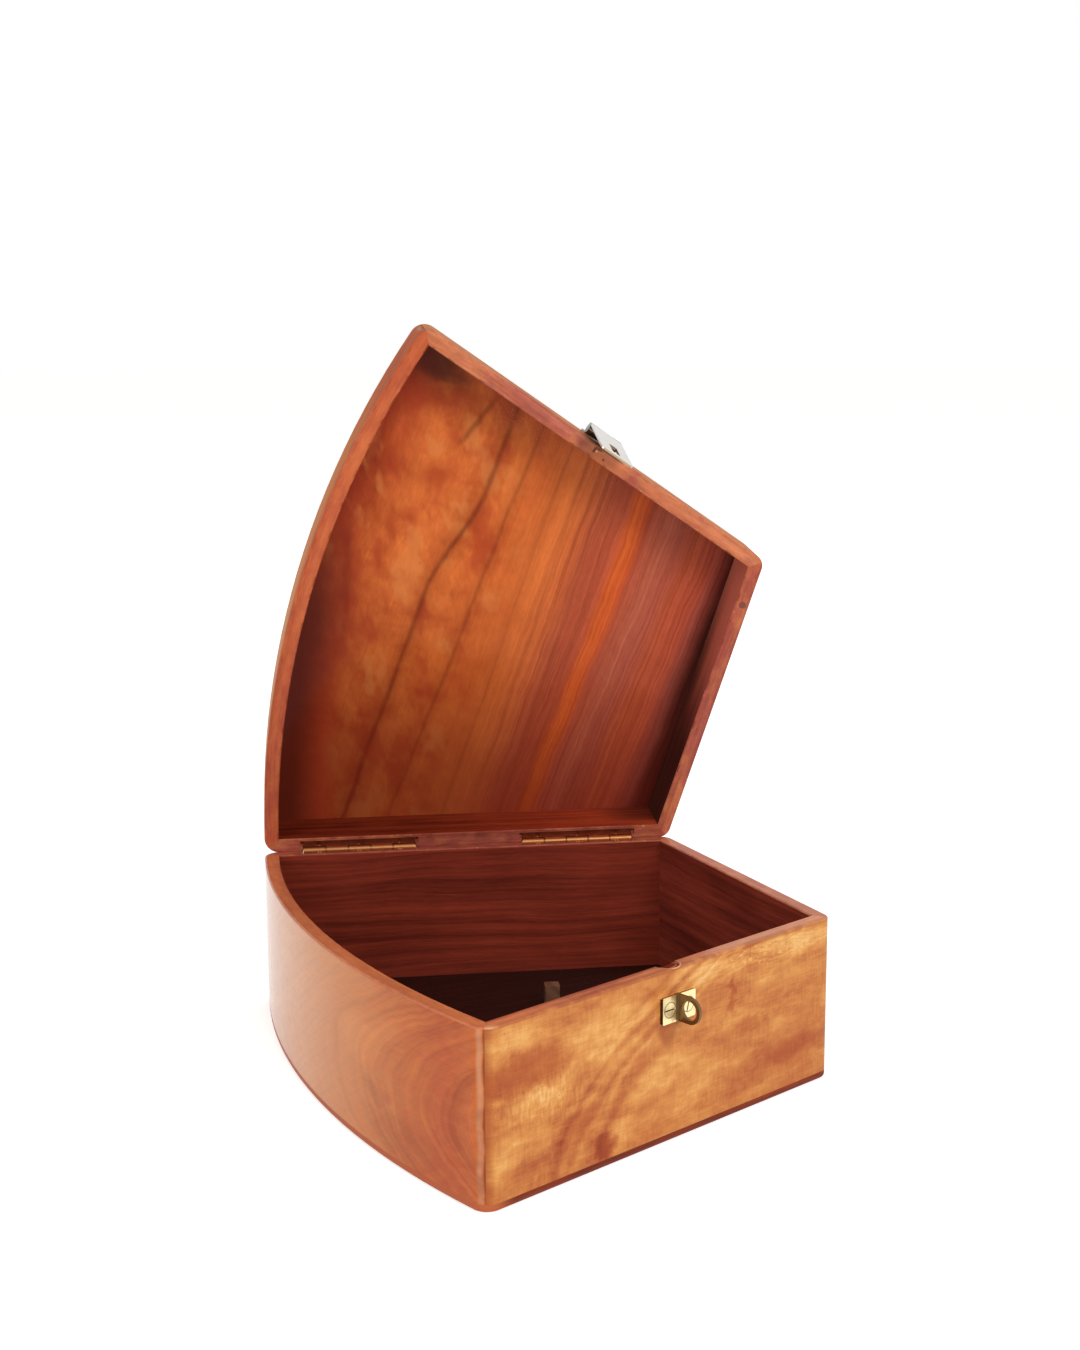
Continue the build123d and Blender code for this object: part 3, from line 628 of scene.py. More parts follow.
def strap_shadow_and_marks(sh, colour, s, depth, on_rim):
    """The lid's rim under the hasp: a painted shadow of the strap along its outer edge, a chip and
    two small holes.
    """
    # Painted shadow of the strap along the rim's outer edge
    edge = sh.line(depth, -0.2, 1.5) * sh.smooth(abs(s - HASP_FROM_CORNER), 15, 11) * on_rim
    colour = sh.mix(colour, srgb(112, 84, 62), edge * 0.75)
    for mark, middle, size in STRAP_MARKS:
        colour = sh.mix(colour, mark, sh.blob(s, depth, middle, size) * on_rim * 0.85)
    return colour


def rim_wood(sh, node_name, s, depth, seed):
    """A rim: golden and rosy streaks, dark threads of varnish, chips and rubbed wood."""
    streaked = STREAKED.get(node_name, 1.0)
    golden, rosy_wood = (
        streaked_wood(sh, s, depth * 1.4, seed + 2.0, tones, spread=0.7 * streaked)
        for tones in (RIM_TONES, ROSY_TONES)
    )
    clouds = sh.noise(s / 9, depth / 4, seed + 2.5, detail=4, rough=0.6)
    brightness = 1.0 + (clouds - 0.5) * 0.8 * streaked
    rosiness = sh.noise(s / 13, depth / 5, seed + 2.7, detail=4, rough=0.6) - 0.5
    rosiness = rosiness * 2.4 * streaked + 0.4
    for brighter, rosier, middle, half_length in RIM_PATCHES[node_name]:
        here = sh.line(s, middle, half_length)
        brightness += here * brighter
        rosiness += here * rosier
    rim = sh.shade(sh.mix(golden, rosy_wood, sh.smooth(rosiness, 0.15, 0.85)), brightness)
    broken = sh.noise(s / 9, 1.0, seed + 6.0, detail=3)
    outer_edge = sh.line(depth, -0.9, 0.6) * sh.smooth(broken, 0.47, 0.56)
    inner_edge = sh.line(depth, 0.5 - WALL, 0.8)
    rim = sh.mix(rim, VARNISH_THREAD, outer_edge * 0.35)
    rim = sh.mix(rim, VARNISH_THREAD, inner_edge * sh.smooth(broken, 0.50, 0.40) * 0.6)
    rim = sh.mix(rim, CHIP, inner_edge * sh.smooth(broken, 0.62, 0.68) * 0.3)
    pale = sh.swing(1.2, s / 5, depth / 3, seed + 6.5, detail=4, rough=0.6) + 1.0
    if node_name == "base_front_wall":
        pale *= sh.smooth(s, 100, 180) * 0.9 + 0.3
    rim = sh.mix(rim, RUBBED_WOOD, pale * RUBBED.get(node_name, 0.0))
    if node_name.endswith("curved_wall"):
        rim = sh.mix(rim, BENT_RIM_TINT, 1.0, "MULTIPLY")
    return rim


def inside_wood(sh, node_name, s, z, seed):
    """A wall's inner face: dark streaks, painted shade in the lid's corners, and painted shade
    along the lid's back wall.
    """
    on_lid = node_name.startswith("lid_")
    if node_name.endswith("end_wall"):
        tones = LID_END_TONES if on_lid else BASE_END_TONES
    else:
        tones = LID_INSIDE_TONES if on_lid else INSIDE_TONES
    inside = streaked_wood(sh, s, z, seed, tones, spread=0.8)
    if node_name == "lid_end_wall":
        # Lighter near the front, and painted shade where it meets the panel and towards the back
        front = sh.smooth(s + (z - 100) * 0.8, 120, 20)
        inside = sh.mix(inside, srgb(208, 118, 96), front * 0.8)
        dark_shape = sh.smooth(z, 98, 113) * sh.smooth(s, -10, 90) * 0.7
        dark_shape = dark_shape.at_least(sh.smooth(s, 60, 130) * 0.8)
        inside = sh.mix(inside, SHADE_DARK, dark_shape)
    if node_name == "lid_back_wall":
        # Painted shade: darker towards the wide end, and in the corner by the end wall, towards the
        # panel
        inside = sh.shade(inside, 1.25 - sh.smooth(s, 10, 170) * 0.62)
        corner = sh.smooth(s, 44, 14) * sh.smooth(z, 89, 99)
        inside = sh.mix(inside, SHADE_DARK, corner * 0.6)
    return inside


def wall_material(node_name):
    """A wall's wood: varnished outside, worn rim and darker inside."""
    on_lid = node_name.startswith("lid_")
    if node_name == "base_curved_wall":
        sh = varnished(node_name, gloss=1.0, coat_ior=1.25)
    else:
        sh = varnished(node_name, gloss=0.1 if on_lid else 0.35)
    board = BOARDS[node_name.split("_", 1)[1]]
    s, depth, z = board.coordinates(sh, sh.place(on_lid))
    seed = 60.0 + 5.0 * sorted(OUTSIDE).index(node_name)
    outside = OUTSIDE[node_name](sh, s, z)
    inside = inside_wood(sh, node_name, s, z, seed)
    rim = rim_wood(sh, node_name, s, depth, seed)
    above_rim = (LID_RIM - z) if on_lid else (z - BASE_RIM)
    on_rim = sh.smooth(above_rim + sh.swing(0.5, s / 6, depth, seed), -0.95, -0.55)
    if on_lid:
        outside = sh.mix(outside, rim, sh.smooth(above_rim, -16, -1) * 0.85)
    if node_name == "base_front_wall":
        # Red and dark inwards, and golden like the front outwards
        inner = sh.smooth(depth, -4.0, -7.6) * sh.smooth(s, 170, 90)
        rim = sh.mix(rim, srgb(146, 62, 42), inner * 0.6)
        rim = sh.mix(rim, outside, sh.smooth(depth, -4.5, -0.8) * 0.65)
    colour = sh.mix(outside, inside, sh.smooth(depth, -WALL / 2, -WALL / 2 - 1))
    colour = sh.mix(colour, rim, on_rim)
    if node_name == "base_front_wall":
        # Chipped bare wood at the rim's corner, with a painted highlight where the corner catches
        # the light
        pale_corner = sh.line(s, 3.0, 7.0) * sh.smooth(depth, -5.0, -0.5) * on_rim
        colour = sh.mix(colour, srgb(236, 184, 136), pale_corner * 0.7)
        colour = worn_notch(sh, colour, s, depth, on_rim)
    if node_name == "lid_front_wall":
        colour = strap_shadow_and_marks(sh, colour, s, depth, on_rim)
    grain = fibres(sh, s, z, seed + 3.0)
    sh.bump(grain * 0.5 - pores(sh, s, z, seed) * 0.6, 0.08, 0.5)
    wear = sh.noise(s / 16, z / 12, seed + 4.0, detail=3)
    return sh.finish(colour, 0.30 + wear * 0.22 + on_rim * 0.14)


# -------- flat boards

# The lid's panel from inside, along u from the wide end to the narrow end; darker by the walls at
# both ends, partly as painted shade
PANEL_TONES = [
    (-118, srgb(150, 54, 26)),
    (-104, srgb(190, 82, 40)),
    (-86, srgb(206, 102, 48)),
    (-62, srgb(210, 106, 50)),
    (-40, srgb(208, 104, 48)),
    (-20, srgb(204, 100, 46)),
    (-4, srgb(212, 108, 52)),
    (10, srgb(206, 103, 55)),
    (20, srgb(184, 86, 56)),
    (33, srgb(180, 80, 53)),
    (38, srgb(210, 94, 42)),
    (43, srgb(204, 88, 42)),
    (47, srgb(172, 77, 53)),
    (56, srgb(182, 92, 68)),
    (66, srgb(166, 78, 59)),
    (76, srgb(182, 82, 52)),
    (88, srgb(176, 76, 52)),
    (95, srgb(144, 66, 54)),
    (103, srgb(72, 31, 26)),
]
# Its brighter and darker patches, at (u, v)
PANEL_PATCHES = [
    (0.16, (-90, -96), (20, 22), 0),
    (-0.14, (-108, -60), (9, 40), -10),
    (0.12, (-78, -42), (16, 30), 0),
    (-0.18, (-66, -108), (9, 14), 18),
    (-0.10, (-58, -55), (9, 26), 20),
    (0.10, (-20, -84), (9, 30), 0),
    (0.10, (-1, -60), (6, 50), 0),
]
# Its dark growth lines: u at v = -110, lean, sideways bend, half-width, darkness
GROWTH_LINES = [
    (-45.5, -0.05, -12.5, 2.6, 0.60),
    (-28.5, -0.07, 0.0, 2.0, 0.34),
    (-8.5, -0.03, 0.0, 1.7, 0.20),
    (3.5, -0.01, 0.0, 1.8, 0.20),
    (11.5, 0.0, 0.0, 1.4, 0.16),
    (18.0, 0.0, 0.0, 2.4, 0.24),
    (27.0, 0.0, 0.0, 1.8, 0.22),
]
GROWTH_LINE = srgb(104, 34, 18)


def panel_wood(sh, u, v, bend, wobble):
    """Flame-figured orange at the wide end, striped and darker towards the narrow end."""
    ring = u + bend * sh.smooth(u, -34, -50) * 12 + (v + 60) * 0.05 + wobble
    colour = sh.ramp(ring, PANEL_TONES)
    wide, narrow = sh.smooth(u, 5, -50), sh.smooth(u, -20, 30)
    stripes = sh.noise(ring / 2.6, v / 240, 73.0, detail=3, rough=0.6)
    hair = sh.noise(ring / 0.8, v / 90, 73.5)
    mottle = sh.noise(u / 22, v / 18, 74.0, detail=4, rough=0.55)
    small = sh.noise((u - v * 0.3) / 4, v / 9, 74.5, detail=3, distortion=0.4)
    flame = sh.noise((u - v * 0.35) / 19, v / 34, 74.8, detail=3)
    flecks = sh.swing(0.22, u / 1.3, v / 5, 75.0)
    tone = (stripes - 0.5) * (narrow * 0.7 + 0.3) + (mottle - 0.5) * (wide * 0.35 + 0.25)
    tone = tone + (small - 0.5) * (wide * 0.35 + 0.1) + flecks
    tone = tone + (fibres(sh, v, u, 78.0) - 0.5) * 0.35 + (hair - 0.5) * (narrow * 0.4 + 0.1)
    colour = sh.deepen(colour, painted(sh, u, v, tone, PANEL_PATCHES) + 1.06)
    red = ((0.5 - mottle) * 3.2 + (small - 0.5) * 0.8).at_least(0.0).at_most(0.8)
    colour = sh.mix(colour, srgb(184, 70, 38), red * wide)
    colour = sh.mix(colour, srgb(174, 60, 34), sh.smooth(flame, 0.50, 0.66) * wide * 0.6)
    return sh.mix(colour, srgb(228, 138, 74), sh.smooth(flame, 0.46, 0.34) * wide * 0.55)


def panel_growth_lines(sh, colour, u, v, bend, wobble):
    shifted = u + wobble * 0.6
    fading = sh.noise(v / 15, u / 60, 76.5)
    for start, lean, sideways, half_width, darkness in GROWTH_LINES:
        path = bend * sideways + (v + 110) * lean + start
        away = abs(shifted - path)
        strength = (fading + 0.45) * darkness
        colour = sh.mix(colour, GROWTH_LINE, sh.smooth(away, half_width, 0.0) * strength)
        around = sh.smooth(away, half_width * 4, 0.0)
        colour = sh.mix(colour, GROWTH_LINE, around * strength * 0.4)
    # A short one by the front corner, and a dark line that rises beside the bent wall
    short = (u + 60) + (v + 119) * 0.4 + sh.swing(4, u / 8, v / 12, 75.5)
    short = sh.line(short, 0.0, 3.0) * sh.smooth(abs(v + 110), 22, 8)
    colour = sh.mix(colour, GROWTH_LINE, short * 0.5)
    rising = (u + 108) - (v + 3) * 0.26 + sh.swing(4, u / 8, v / 12, 75.7)
    rising = sh.line(rising, 0.0, 3.6) * sh.smooth(abs(v - 2), 44, 16)
    return sh.mix(colour, GROWTH_LINE, rising * 0.4)


def panel_inside(sh, u, v):
    """The lid's panel from inside: its wood, growth lines, stains and scuffs."""
    bend = sh.smooth(v, -74, -10)
    wobble = sh.swing(4, u / 14, v / 26, 72.0)
    wobble += sh.swing(6, u / 60, v / 110, 71.0, detail=1)
    colour = panel_wood(sh, u, v, bend, wobble)
    colour = panel_growth_lines(sh, colour, u, v, bend, wobble)
    # A dark patch in the front corner
    dark_shape = sh.swing(22, u / 11, v / 8, 76.0, detail=4)
    corner = sh.blob(u + dark_shape, v + dark_shape * 0.6, (-97, -135), (30, 12), 16)
    colour = sh.mix(colour, srgb(104, 46, 34), corner * 0.85)
    # Deeper red towards the hinges, partly redder wood and partly painted shade, and along the bent
    # wall a redder band and painted shade, darkest towards the hinges
    colour = sh.mix(colour, srgb(104, 30, 19), sh.smooth(v, -30, 110) * 0.72)
    from_bow = sh.length(u - BOW_RADIUS + BOW + BODY_LENGTH / 2, v) - BOW_RADIUS + dark_shape * 0.3
    low = sh.smooth(v, -70, 30)
    red_and_shade_by_bow = sh.smooth(from_bow + low * 22, -22, -8) * (low * 0.4 + 0.35)
    colour = sh.mix(colour, srgb(150, 50, 30), red_and_shade_by_bow)
    painted_shade_by_bow = sh.smooth(from_bow + low * 14, -22, 0) * low
    colour = sh.mix(colour, srgb(64, 24, 19), painted_shade_by_bow * 0.7)
    # Scuffs along the front wall, from fitting and removing things, and small pits
    from_wall = v + 109 - u * 0.31
    scuff = sh.smooth(sh.noise((u + v) / 2.0, (u - v) / 0.9, 77.0), 0.56, 0.68)
    where = sh.smooth(abs(from_wall - 6), 9, 3) * sh.smooth(abs(u + 18), 46, 30)
    colour = sh.mix(colour, srgb(206, 134, 104), scuff * where * 0.6)
    pits = sh.smooth(sh.noise(u / 1.1, v / 2.6, 79.0, detail=1), 0.74, 0.79)
    return sh.mix(colour, GROWTH_LINE, pits * 0.4)


def panel_outside(sh, u, v):
    """The lid's top, of the same wood as the front: broad arcs along the box."""
    arcs = v - u.squared() * 0.0016 + sh.swing(30, u / 50, v / 40, 81.0)
    bands = sh.swing(0.5, arcs / 9, u / 220, 82.0, detail=3, rough=0.55)
    hair = sh.swing(0.18, arcs / 1.8, u / 160, 82.5)
    return sh.ramp(golden_tone(sh, u, v, 83.0) + bands + hair + 0.50, GOLDEN_WOOD)


def lid_panel_material():
    sh = varnished("lid_top_panel", gloss=0.12)
    u, v, z = keystone_coordinates(sh, sh.place(on_lid=True))
    is_inside = sh.smooth(z, LID_PANEL_INSIDE + 0.4, LID_PANEL_INSIDE + 0.1)
    colour = sh.mix(panel_outside(sh, u, v), panel_inside(sh, u, v), is_inside)
    grain = fibres(sh, v, u, 85.0) * is_inside + fibres(sh, u, v, 86.0) * (1 - is_inside)
    sh.bump(grain, 0.09, 0.5)
    wear = sh.noise(u / 20, v / 20, 87.0, detail=3)
    return sh.finish(colour, 0.28 + wear * 0.22)


def bottom_board_material():
    """Dark red along its edge and on the floor inside, where painted shade darkens it further, and
    bare underneath.
    """
    sh = varnished("base_bottom_board")
    u, v, z = keystone_coordinates(sh, sh.place())
    inside = streaked_wood(sh, u, v, 91.0, FLOOR_TONES, spread=0.7)
    edge = streaked_wood(sh, u + v, z, 93.0, EDGE_TONES)
    under = streaked_wood(sh, u, v, 95.0, BARE_TONES)
    # Lighter along the bent wall
    edge = sh.mix(edge, srgb(202, 108, 64), sh.smooth(u, -92, -106) * 0.85)
    colour = sh.mix(edge, inside, sh.smooth(z, BOTTOM_LIP + 0.5, BOTTOM_LIP + 1))
    colour = sh.mix(colour, under, sh.smooth(z, 0.25, 0.05))
    sh.bump(fibres(sh, u, v, 96.0), 0.08, 0.4)
    return sh.finish(colour, 0.40 + sh.noise(u / 14, v / 14, 97.0, detail=3) * 0.2)


# -------- metal, felt and small woods

# Bright, tarnished and dark
BRASS = palette((226, 196, 128), (176, 138, 74), (92, 62, 30))
STAPLE_BRASS = palette((242, 224, 172), (206, 176, 112), (92, 62, 30))
# The hinges' dark reddish brass: a painted reflection of the box's dark red inside
RED_REFLECTING_BRASS = palette((146, 76, 52), (118, 56, 38), (60, 28, 20))
NICKEL = palette((216, 212, 206), (204, 196, 180), (120, 108, 88))
GREY_NICKEL = palette((150, 145, 138), (118, 110, 98), (48, 40, 34))
FELT_TONES = [(0.3, srgb(18, 40, 28)), (0.55, srgb(36, 66, 46)), (0.8, srgb(74, 104, 78))]


def metal(name, tones, roughness, on_lid=False, share=0.5, paint=None):
    """Old satin metal: brushed, spotted, and darker where fingers and rubbing don't reach.

    tones are bright, tarnished and dark, and share says how much of it is tarnished.
    paint(sh, place, colour, dark) adds what else is on it.
    """
    bright, tarnish, dark = tones
    sh = Shader(name, Metallic=1.0, Specular_IOR_Level=0.5)
    place = sh.place(on_lid)
    x, y, z = sh.split(place)
    cloud = sh.noise(x / 5, y / 5, z / 5, detail=4, rough=0.6)
    spots = sh.noise(x / 0.9, y / 0.9, z / 0.9, detail=3)
    brushed = sh.noise((x + y) / 7, z / 0.12, 3.0)
    colour = sh.mix(bright, tarnish, sh.smooth(cloud, 0.62 - share * 0.3, 0.80 - share * 0.2))
    colour = sh.mix(colour, dark, sh.smooth(spots, 0.62, 0.74) * share)
    if paint:
        colour = paint(sh, place, colour, dark)
    colour = sh.shade(colour, 1.0 + (brushed - 0.5) * 0.25)
    sh.bump(brushed * 0.3 + spots * 0.4, 0.03, 0.5)
    return sh.finish(colour, roughness + (cloud - 0.5) * 0.3 + (brushed - 0.5) * 0.15)


def hinge_barrel(sh, place, colour, dark):
    """A hinge's barrel is paler than its leaves, whose colour holds a painted reflection of the
    box's dark red inside, with painted shade in the seams between the knuckles.
    """
    x, y, z = sh.split(place)
    from_pin = sh.length(y - HINGE_POINT.y, z - HINGE_POINT.z)
    barrel = sh.smooth(from_pin, KNUCKLE_RADIUS + 0.15, KNUCKLE_RADIUS + 0.02)
    colour = sh.mix(colour, srgb(152, 100, 62), barrel)
    # Painted shade in the seams between the knuckles
    for middle in HINGE_MIDDLES:
        for joint in (-1.5, -0.5, 0.5, 1.5):
            knuckle_seam_shade = sh.line(x, middle + joint * KNUCKLE_PITCH, 0.7)
            colour = sh.mix(colour, dark, knuckle_seam_shade * barrel * 0.85)
    return colour


def staple_shade_and_tarnish(sh, place, colour, dark):
    """Painted shade on the plate's left edge, round the screws and in their slots, and a loop
    darkened by tarnish and painted shade.
    """
    s, depth, z = BOARDS["front_wall"].coordinates(sh, place)
    away = s - HASP_FROM_CORNER
    up = z - STAPLE_HEIGHT
    # The loop is darker: tarnish and painted shade
    loop = sh.smooth(depth, STAPLE_THICK + 0.08, STAPLE_THICK + 0.5)
    loop = loop.at_least(sh.smooth(abs(away + 0.6), 1.9, 1.2) * 0.8)
    colour = sh.mix(colour, srgb(96, 64, 36), loop * 0.9)
    # Painted shade on the plate's left side
    left_edge = sh.smooth(away, 0.15 - STAPLE_HALF_WIDTH, 0.02 - STAPLE_HALF_WIDTH)
    colour = sh.mix(colour, srgb(76, 44, 24), left_edge * 0.9)
    # Painted shade in the gaps round the screw heads
    for side in (-1, 1):
        from_screw = sh.length(away - side * STAPLE_SCREW_PITCH / 2, up)
        ring = sh.line(from_screw, STAPLE_SCREW_RING, 0.45)
        colour = sh.mix(colour, dark, ring * (1 - loop) * 0.8)
    # Painted shade below the plate's face, in the screw slots
    slots = sh.smooth(depth, STAPLE_THICK - 0.2, STAPLE_THICK - 0.4)
    return sh.mix(colour, srgb(70, 50, 26), slots * sh.smooth(depth, 0.6, 0.9) * 0.9)


def strap_highlight_and_shade(sh, place, colour, _):
    """Brown inside the strap's slot, a painted cream highlight near its lower end, painted shade on
    its end face, and a grey underside.
    """
    s, depth, z = BOARDS["front_wall"].coordinates(sh, place)
    across, up = abs(s - HASP_FROM_CORNER), abs(z - STAPLE_HEIGHT)
    slot = sh.smooth(across, SLOT_HALF_WIDTH + 0.15, SLOT_HALF_WIDTH - 0.15)
    slot *= sh.smooth(up, SLOT_HALF_LENGTH + 0.15, SLOT_HALF_LENGTH - 0.15)
    colour = sh.mix(colour, srgb(132, 104, 78), slot)
    # A painted cream highlight near the strap's lower end
    colour = sh.mix(colour, srgb(244, 220, 186), sh.smooth(z, 55.5, 51.0) * 0.5)
    # Painted shade on the end face
    colour = sh.mix(colour, srgb(150, 126, 98), sh.smooth(z, STRAP_END, STRAP_END - 0.15) * 0.8)
    underneath = depth + (HASP_PIN_HEIGHT - z) * STRAP_LEAN
    underneath = sh.smooth(underneath, STRAP_UNDERSIDE + 0.5, STRAP_UNDERSIDE + 0.1)
    return sh.mix(colour, srgb(128, 118, 108), underneath * 0.85)


def small_wood(name, tones, on_lid=False):
    """Plain dull wood for the rests and the plug."""
    sh = Shader(name, Roughness=0.6, Specular_IOR_Level=0.4, Coat_Weight=0.1, Coat_Roughness=0.3)
    u, v, z = keystone_coordinates(sh, sh.place(on_lid))
    colour = streaked_wood(sh, v * 1.7 + z * 0.3, u * 1.1 + z, 101.0, tones)
    sh.bump(fibres(sh, v, u + z, 103.0), 0.08, 0.6)
    return sh.finish(colour, 0.55 + sh.swing(0.3, u / 6, v / 6, z / 6, detail=3))


def felt_material():
    """Dark green wool felt: short matted fibres and flattened patches."""
    sh = Shader("felt", Specular_IOR_Level=0.2, Sheen_Weight=0.2, Sheen_Roughness=0.5)
    x, y, z = sh.split(sh.place())
    wool = sh.noise(x / 0.35, y / 0.35, z / 0.35, detail=4, rough=0.7, distortion=1.5)
    patch = sh.noise(x / 7, y / 7, z / 7)
    colour = sh.ramp(wool * 0.7 + patch * 0.4, FELT_TONES)
    sh.bump(wool, 0.25, 0.8)
    return sh.finish(colour, 0.85 + (wool - 0.5) * 0.2)


# -------- dressing the CAD nodes


def dress(material, *node_names):
    for node_name in node_names:
        slots = frame["nodes"][node_name].data.materials
        if not slots:
            slots.append(material)
        for index in range(len(slots)):
            slots[index] = material


def dress_all():
    for node_name in OUTSIDE:
        dress(wall_material(node_name), node_name)
    dress(lid_panel_material(), "lid_top_panel")
    dress(bottom_board_material(), "base_bottom_board")
    pins = ("hinge_pin_left", "hinge_pin_right")
    dress(metal("brass", BRASS, 0.34), "bottom_board_screws", "hinge_base_screws", *pins)
    staple_brass = metal("brass_staple", STAPLE_BRASS, 0.36, share=0.3, paint=staple_shade_and_tarnish)
    dress(staple_brass, "staple", "staple_screws")
    dress(metal("nickel", NICKEL, 0.3, on_lid=True, share=0.15, paint=strap_highlight_and_shade), "hasp_strap")
    grey_nickel = metal("grey_nickel", GREY_NICKEL, 0.36, on_lid=True)
    dress(grey_nickel, "hasp_leaf", "hasp_pin", "hasp_screws")
    base_leaf = metal("brass_hinge", RED_REFLECTING_BRASS, 0.4, paint=hinge_barrel)
    dress(base_leaf, "hinge_base_leaf_left", "hinge_base_leaf_right")
    lid_leaf = metal("brass_hinge_on_lid", RED_REFLECTING_BRASS, 0.4, on_lid=True, paint=hinge_barrel)
    dress(lid_leaf, "hinge_lid_leaf_left", "hinge_lid_leaf_right")
    dress(metal("brass_screws_on_lid", RED_REFLECTING_BRASS, 0.34, on_lid=True), "hinge_lid_screws")
    rests = ("arc_rest_front", "arc_rest_back", "handle_chock", "end_rest", "rest_post")
    dress(small_wood("rest_wood", REST_TONES), *rests)
    dress(small_wood("dark_plug", PLUG_TONES, on_lid=True), "lid_rim_plug")


# -------- felt pads

FELT_COLUMNS, FELT_ROWS = 72, 14
FELT_EDGE = 0.56  # the felt's height along its edges, as a share of its thickness
FELT_CROWN = 0.34  # how much higher it is away from them
FELT_ROUNDING = 5  # 1 over the share of its width in which it rises
FELT_LUMPS = 0.07
FELT_LUMP_LENGTH = 2.2 * MM


def add_object(name, data):
    item = bpy.data.objects.new(name, data)
    bpy.context.collection.objects.link(item)
    return item


def corners_of(node_name):
    """A flat block's four upright edges on plan, in order round it, and its two heights."""
    mesh = frame["nodes"][node_name].data
    low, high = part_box(node_name)
    plan = {(round(v.co.x, 5), round(v.co.y, 5)) for v in mesh.vertices}
    middle = Vector((sum(x for x, _ in plan), sum(y for _, y in plan))) / len(plan)
    ordered = sorted(plan, key=lambda p: atan2(p[1] - middle.y, p[0] - middle.x))
    return [Vector(point) for point in ordered], low.z, high.z


def felt_height(spot, along, across):
    """How high the felt's top is at a spot, as a share of its thickness."""
    edge = min(along * 5, (1 - along) * 5, across, 1 - across)
    crown = sqrt(min(edge * FELT_ROUNDING, 1.0)) * FELT_CROWN + FELT_EDGE
    lump = noise.noise(Vector((spot.x, spot.y, 0.0)) / FELT_LUMP_LENGTH) * FELT_LUMPS
    return min(crown + lump, 1.0)


def felt_grid(body, corners, height_at):
    """New vertices over a pad: one list for each step along it."""
    a, b, c, d = corners
    grid = []
    for i in range(FELT_COLUMNS + 1):
        step = []
        for j in range(FELT_ROWS + 1):
            along, across = i / FELT_COLUMNS, j / FELT_ROWS
            spot = a.lerp(b, along).lerp(d.lerp(c, along), across)
            step.append(body.verts.new((spot.x, spot.y, height_at(spot, along, across))))
        grid.append(step)
    return grid


def felt_pad(node_name, material):
    """A strip of felt with a crowned, slightly uneven top and rounded edges."""
    corners, bottom, top = corners_of(node_name)
    if (corners[1] - corners[0]).length <= (corners[2] - corners[1]).length:
        corners = corners[1:] + corners[:1]
    body = bmesh.new()
    upper = felt_grid(body, corners, lambda *where: bottom + (top - bottom) * felt_height(*where))
    lower = felt_grid(body, corners, lambda *where: bottom)
    for grid in (upper, lower):
        for i in range(FELT_COLUMNS):
            for j in range(FELT_ROWS):
                quad = [grid[i][j], grid[i + 1][j], grid[i + 1][j + 1], grid[i][j + 1]]
                body.faces.new(quad if grid is upper else quad[::-1])
    rim = [(i, 0) for i in range(FELT_COLUMNS)]
    rim += [(FELT_COLUMNS, j) for j in range(FELT_ROWS)]
    rim += [(FELT_COLUMNS - i, FELT_ROWS) for i in range(FELT_COLUMNS)]
    rim += [(0, FELT_ROWS - j) for j in range(FELT_ROWS)]
    for (i, j), (k, m) in zip(rim, rim[1:] + rim[:1]):
        body.faces.new([lower[i][j], lower[k][m], upper[k][m], upper[i][j]])
    bmesh.ops.recalc_face_normals(body, faces=body.faces)
    mesh = bpy.data.meshes.new(node_name + "_felt")
    body.to_mesh(mesh)
    body.free()
    mesh.polygons.foreach_set("use_smooth", [True] * len(mesh.polygons))
    mesh.materials.append(material)
    piece = add_object(node_name + "_felt", mesh)
    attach(piece, "base")
    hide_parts(node_name)


# -------- camera, light and floor

CAMERA_PLACE = Vector((-0.139341, -0.966437, 0.386024))
CAMERA_RIGHT = Vector((0.991011, -0.133699, -0.004613))
CAMERA_UP = Vector((0.029030, 0.181261, 0.983006))
CAMERA_LENS = 52.16
SENSOR = 36.0
CLIP_START = 0.02
WHITE = (1.0, 1.0, 1.0, 1.0)
SKY_COLOUR = (1.0, 0.985, 0.965, 1.0)
SKY_STRENGTH = 0.45
FLOOR_COLOUR = (0.86, 0.86, 0.86, 1.0)
FLOOR_GLOW = 0.62
FLOOR_HALF_SIDE = 12.0
FLOOR_HEIGHT = -0.0002
BOX_MIDDLE = Vector((-0.01, 0.0, 0.14))
# Area lights: place, size, watts, colour, and whether reflections show them
LIGHTS = {
    "key": ((0.75, -1.75, 1.35), (1.2, 1.2), 26.0, (1.0, 0.97, 0.93), True),
    "fill": ((-1.6, -1.2, 0.9), (1.4, 1.2), 10.0, (1.0, 1.0, 1.0), True),
    "back": ((1.0, 1.7, 1.0), (1.4, 1.2), 8.0, (1.0, 1.0, 1.0), False),
}


def add_camera():
    data = bpy.data.cameras.new("camera")
    data.lens = CAMERA_LENS
    data.sensor_width = SENSOR
    data.clip_start = CLIP_START
    camera = add_object("camera", data)
    back = CAMERA_RIGHT.cross(CAMERA_UP)
    turn = Matrix((CAMERA_RIGHT, CAMERA_UP, back)).transposed().to_4x4()
    camera.matrix_world = Matrix.Translation(CAMERA_PLACE) @ turn
    bpy.context.scene.camera = camera


def shader_node(tree, kind, **inputs):
    node = tree.nodes.new(kind)
    for name, value in inputs.items():
        node.inputs[name].default_value = value
    return node


def seen_directly(tree):
    """1 for what the camera sees, also by reflection and through glass."""
    path = tree.nodes.new("ShaderNodeLightPath")
    total = path.outputs["Is Camera Ray"]
    for name in ("Is Glossy Ray", "Is Transmission Ray"):
        node = tree.nodes.new("ShaderNodeMath")
        node.operation = "MAXIMUM"
        tree.links.new(total, node.inputs[0])
        tree.links.new(path.outputs[name], node.inputs[1])
        total = node.outputs[0]
    return total


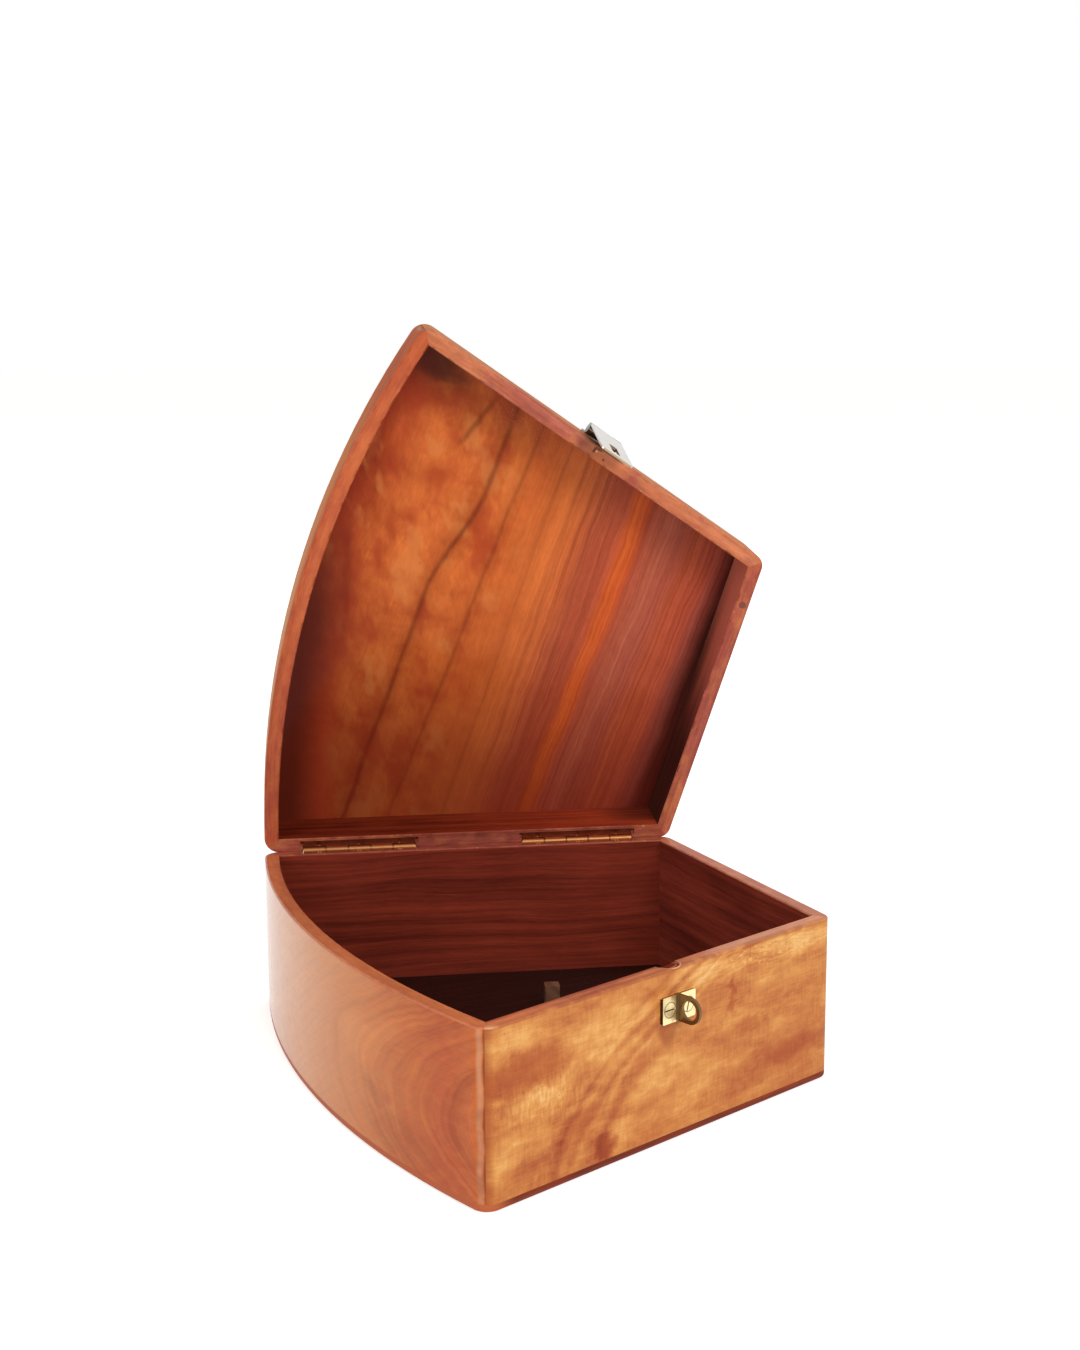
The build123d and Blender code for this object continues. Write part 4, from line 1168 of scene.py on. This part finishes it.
def link_by_ray(tree, lighting, seen, surface):
    """Join one shader for what lights the object and one for what is seen."""
    mix = tree.nodes.new("ShaderNodeMixShader")
    tree.links.new(seen_directly(tree), mix.inputs[0])
    tree.links.new(lighting.outputs[0], mix.inputs[1])
    tree.links.new(seen.outputs[0], mix.inputs[2])
    tree.links.new(mix.outputs[0], surface)


def add_world():
    """Soft warm light from all round, seen as plain white."""
    world = bpy.data.worlds.new("studio")
    world.use_nodes = True
    tree = world.node_tree
    light = tree.nodes["Background"]
    light.inputs["Color"].default_value = SKY_COLOUR
    light.inputs["Strength"].default_value = SKY_STRENGTH
    white = shader_node(tree, "ShaderNodeBackground", Color=WHITE, Strength=1.0)
    link_by_ray(tree, light, white, tree.nodes["World Output"].inputs["Surface"])
    bpy.context.scene.world = world


def add_floor():
    """A pale floor, seen nearly white, that keeps a soft shadow."""
    mesh = bpy.data.meshes.new("floor")
    side, height = FLOOR_HALF_SIDE, FLOOR_HEIGHT
    corners = [(x * side, y * side, height) for x, y in ((-1, -1), (1, -1), (1, 1), (-1, 1))]
    mesh.from_pydata(corners, [], [(0, 1, 2, 3)])
    floor = add_object("floor", mesh)
    material = bpy.data.materials.new("floor")
    material.use_nodes = True
    tree = material.node_tree
    tree.nodes.remove(tree.nodes["Principled BSDF"])
    matt = shader_node(tree, "ShaderNodeBsdfDiffuse", Color=FLOOR_COLOUR)
    glow = shader_node(tree, "ShaderNodeEmission", Strength=FLOOR_GLOW)
    glowing = tree.nodes.new("ShaderNodeAddShader")
    tree.links.new(matt.outputs[0], glowing.inputs[0])
    tree.links.new(glow.outputs[0], glowing.inputs[1])
    link_by_ray(tree, matt, glowing, tree.nodes["Material Output"].inputs["Surface"])
    mesh.materials.append(material)


def add_lights():
    for name, (place, size, watts, colour, in_reflections) in LIGHTS.items():
        data = bpy.data.lights.new(name, "AREA")
        data.shape = "RECTANGLE"
        data.size, data.size_y = size
        data.energy = watts
        data.color = colour
        light = add_object(name, data)
        light.visible_glossy = in_reflections
        place = Vector(place)
        turn = (BOX_MIDDLE - place).to_track_quat("-Z", "Y").to_matrix().to_4x4()
        light.matrix_world = Matrix.Translation(place) @ turn


add_camera()
add_world()
add_floor()
add_lights()

dress_all()
felt = felt_material()
for pad in ("arc_rest_pad_front", "arc_rest_pad_back"):
    felt_pad(pad, felt)

bpy.context.scene.view_settings.view_transform = "Standard"
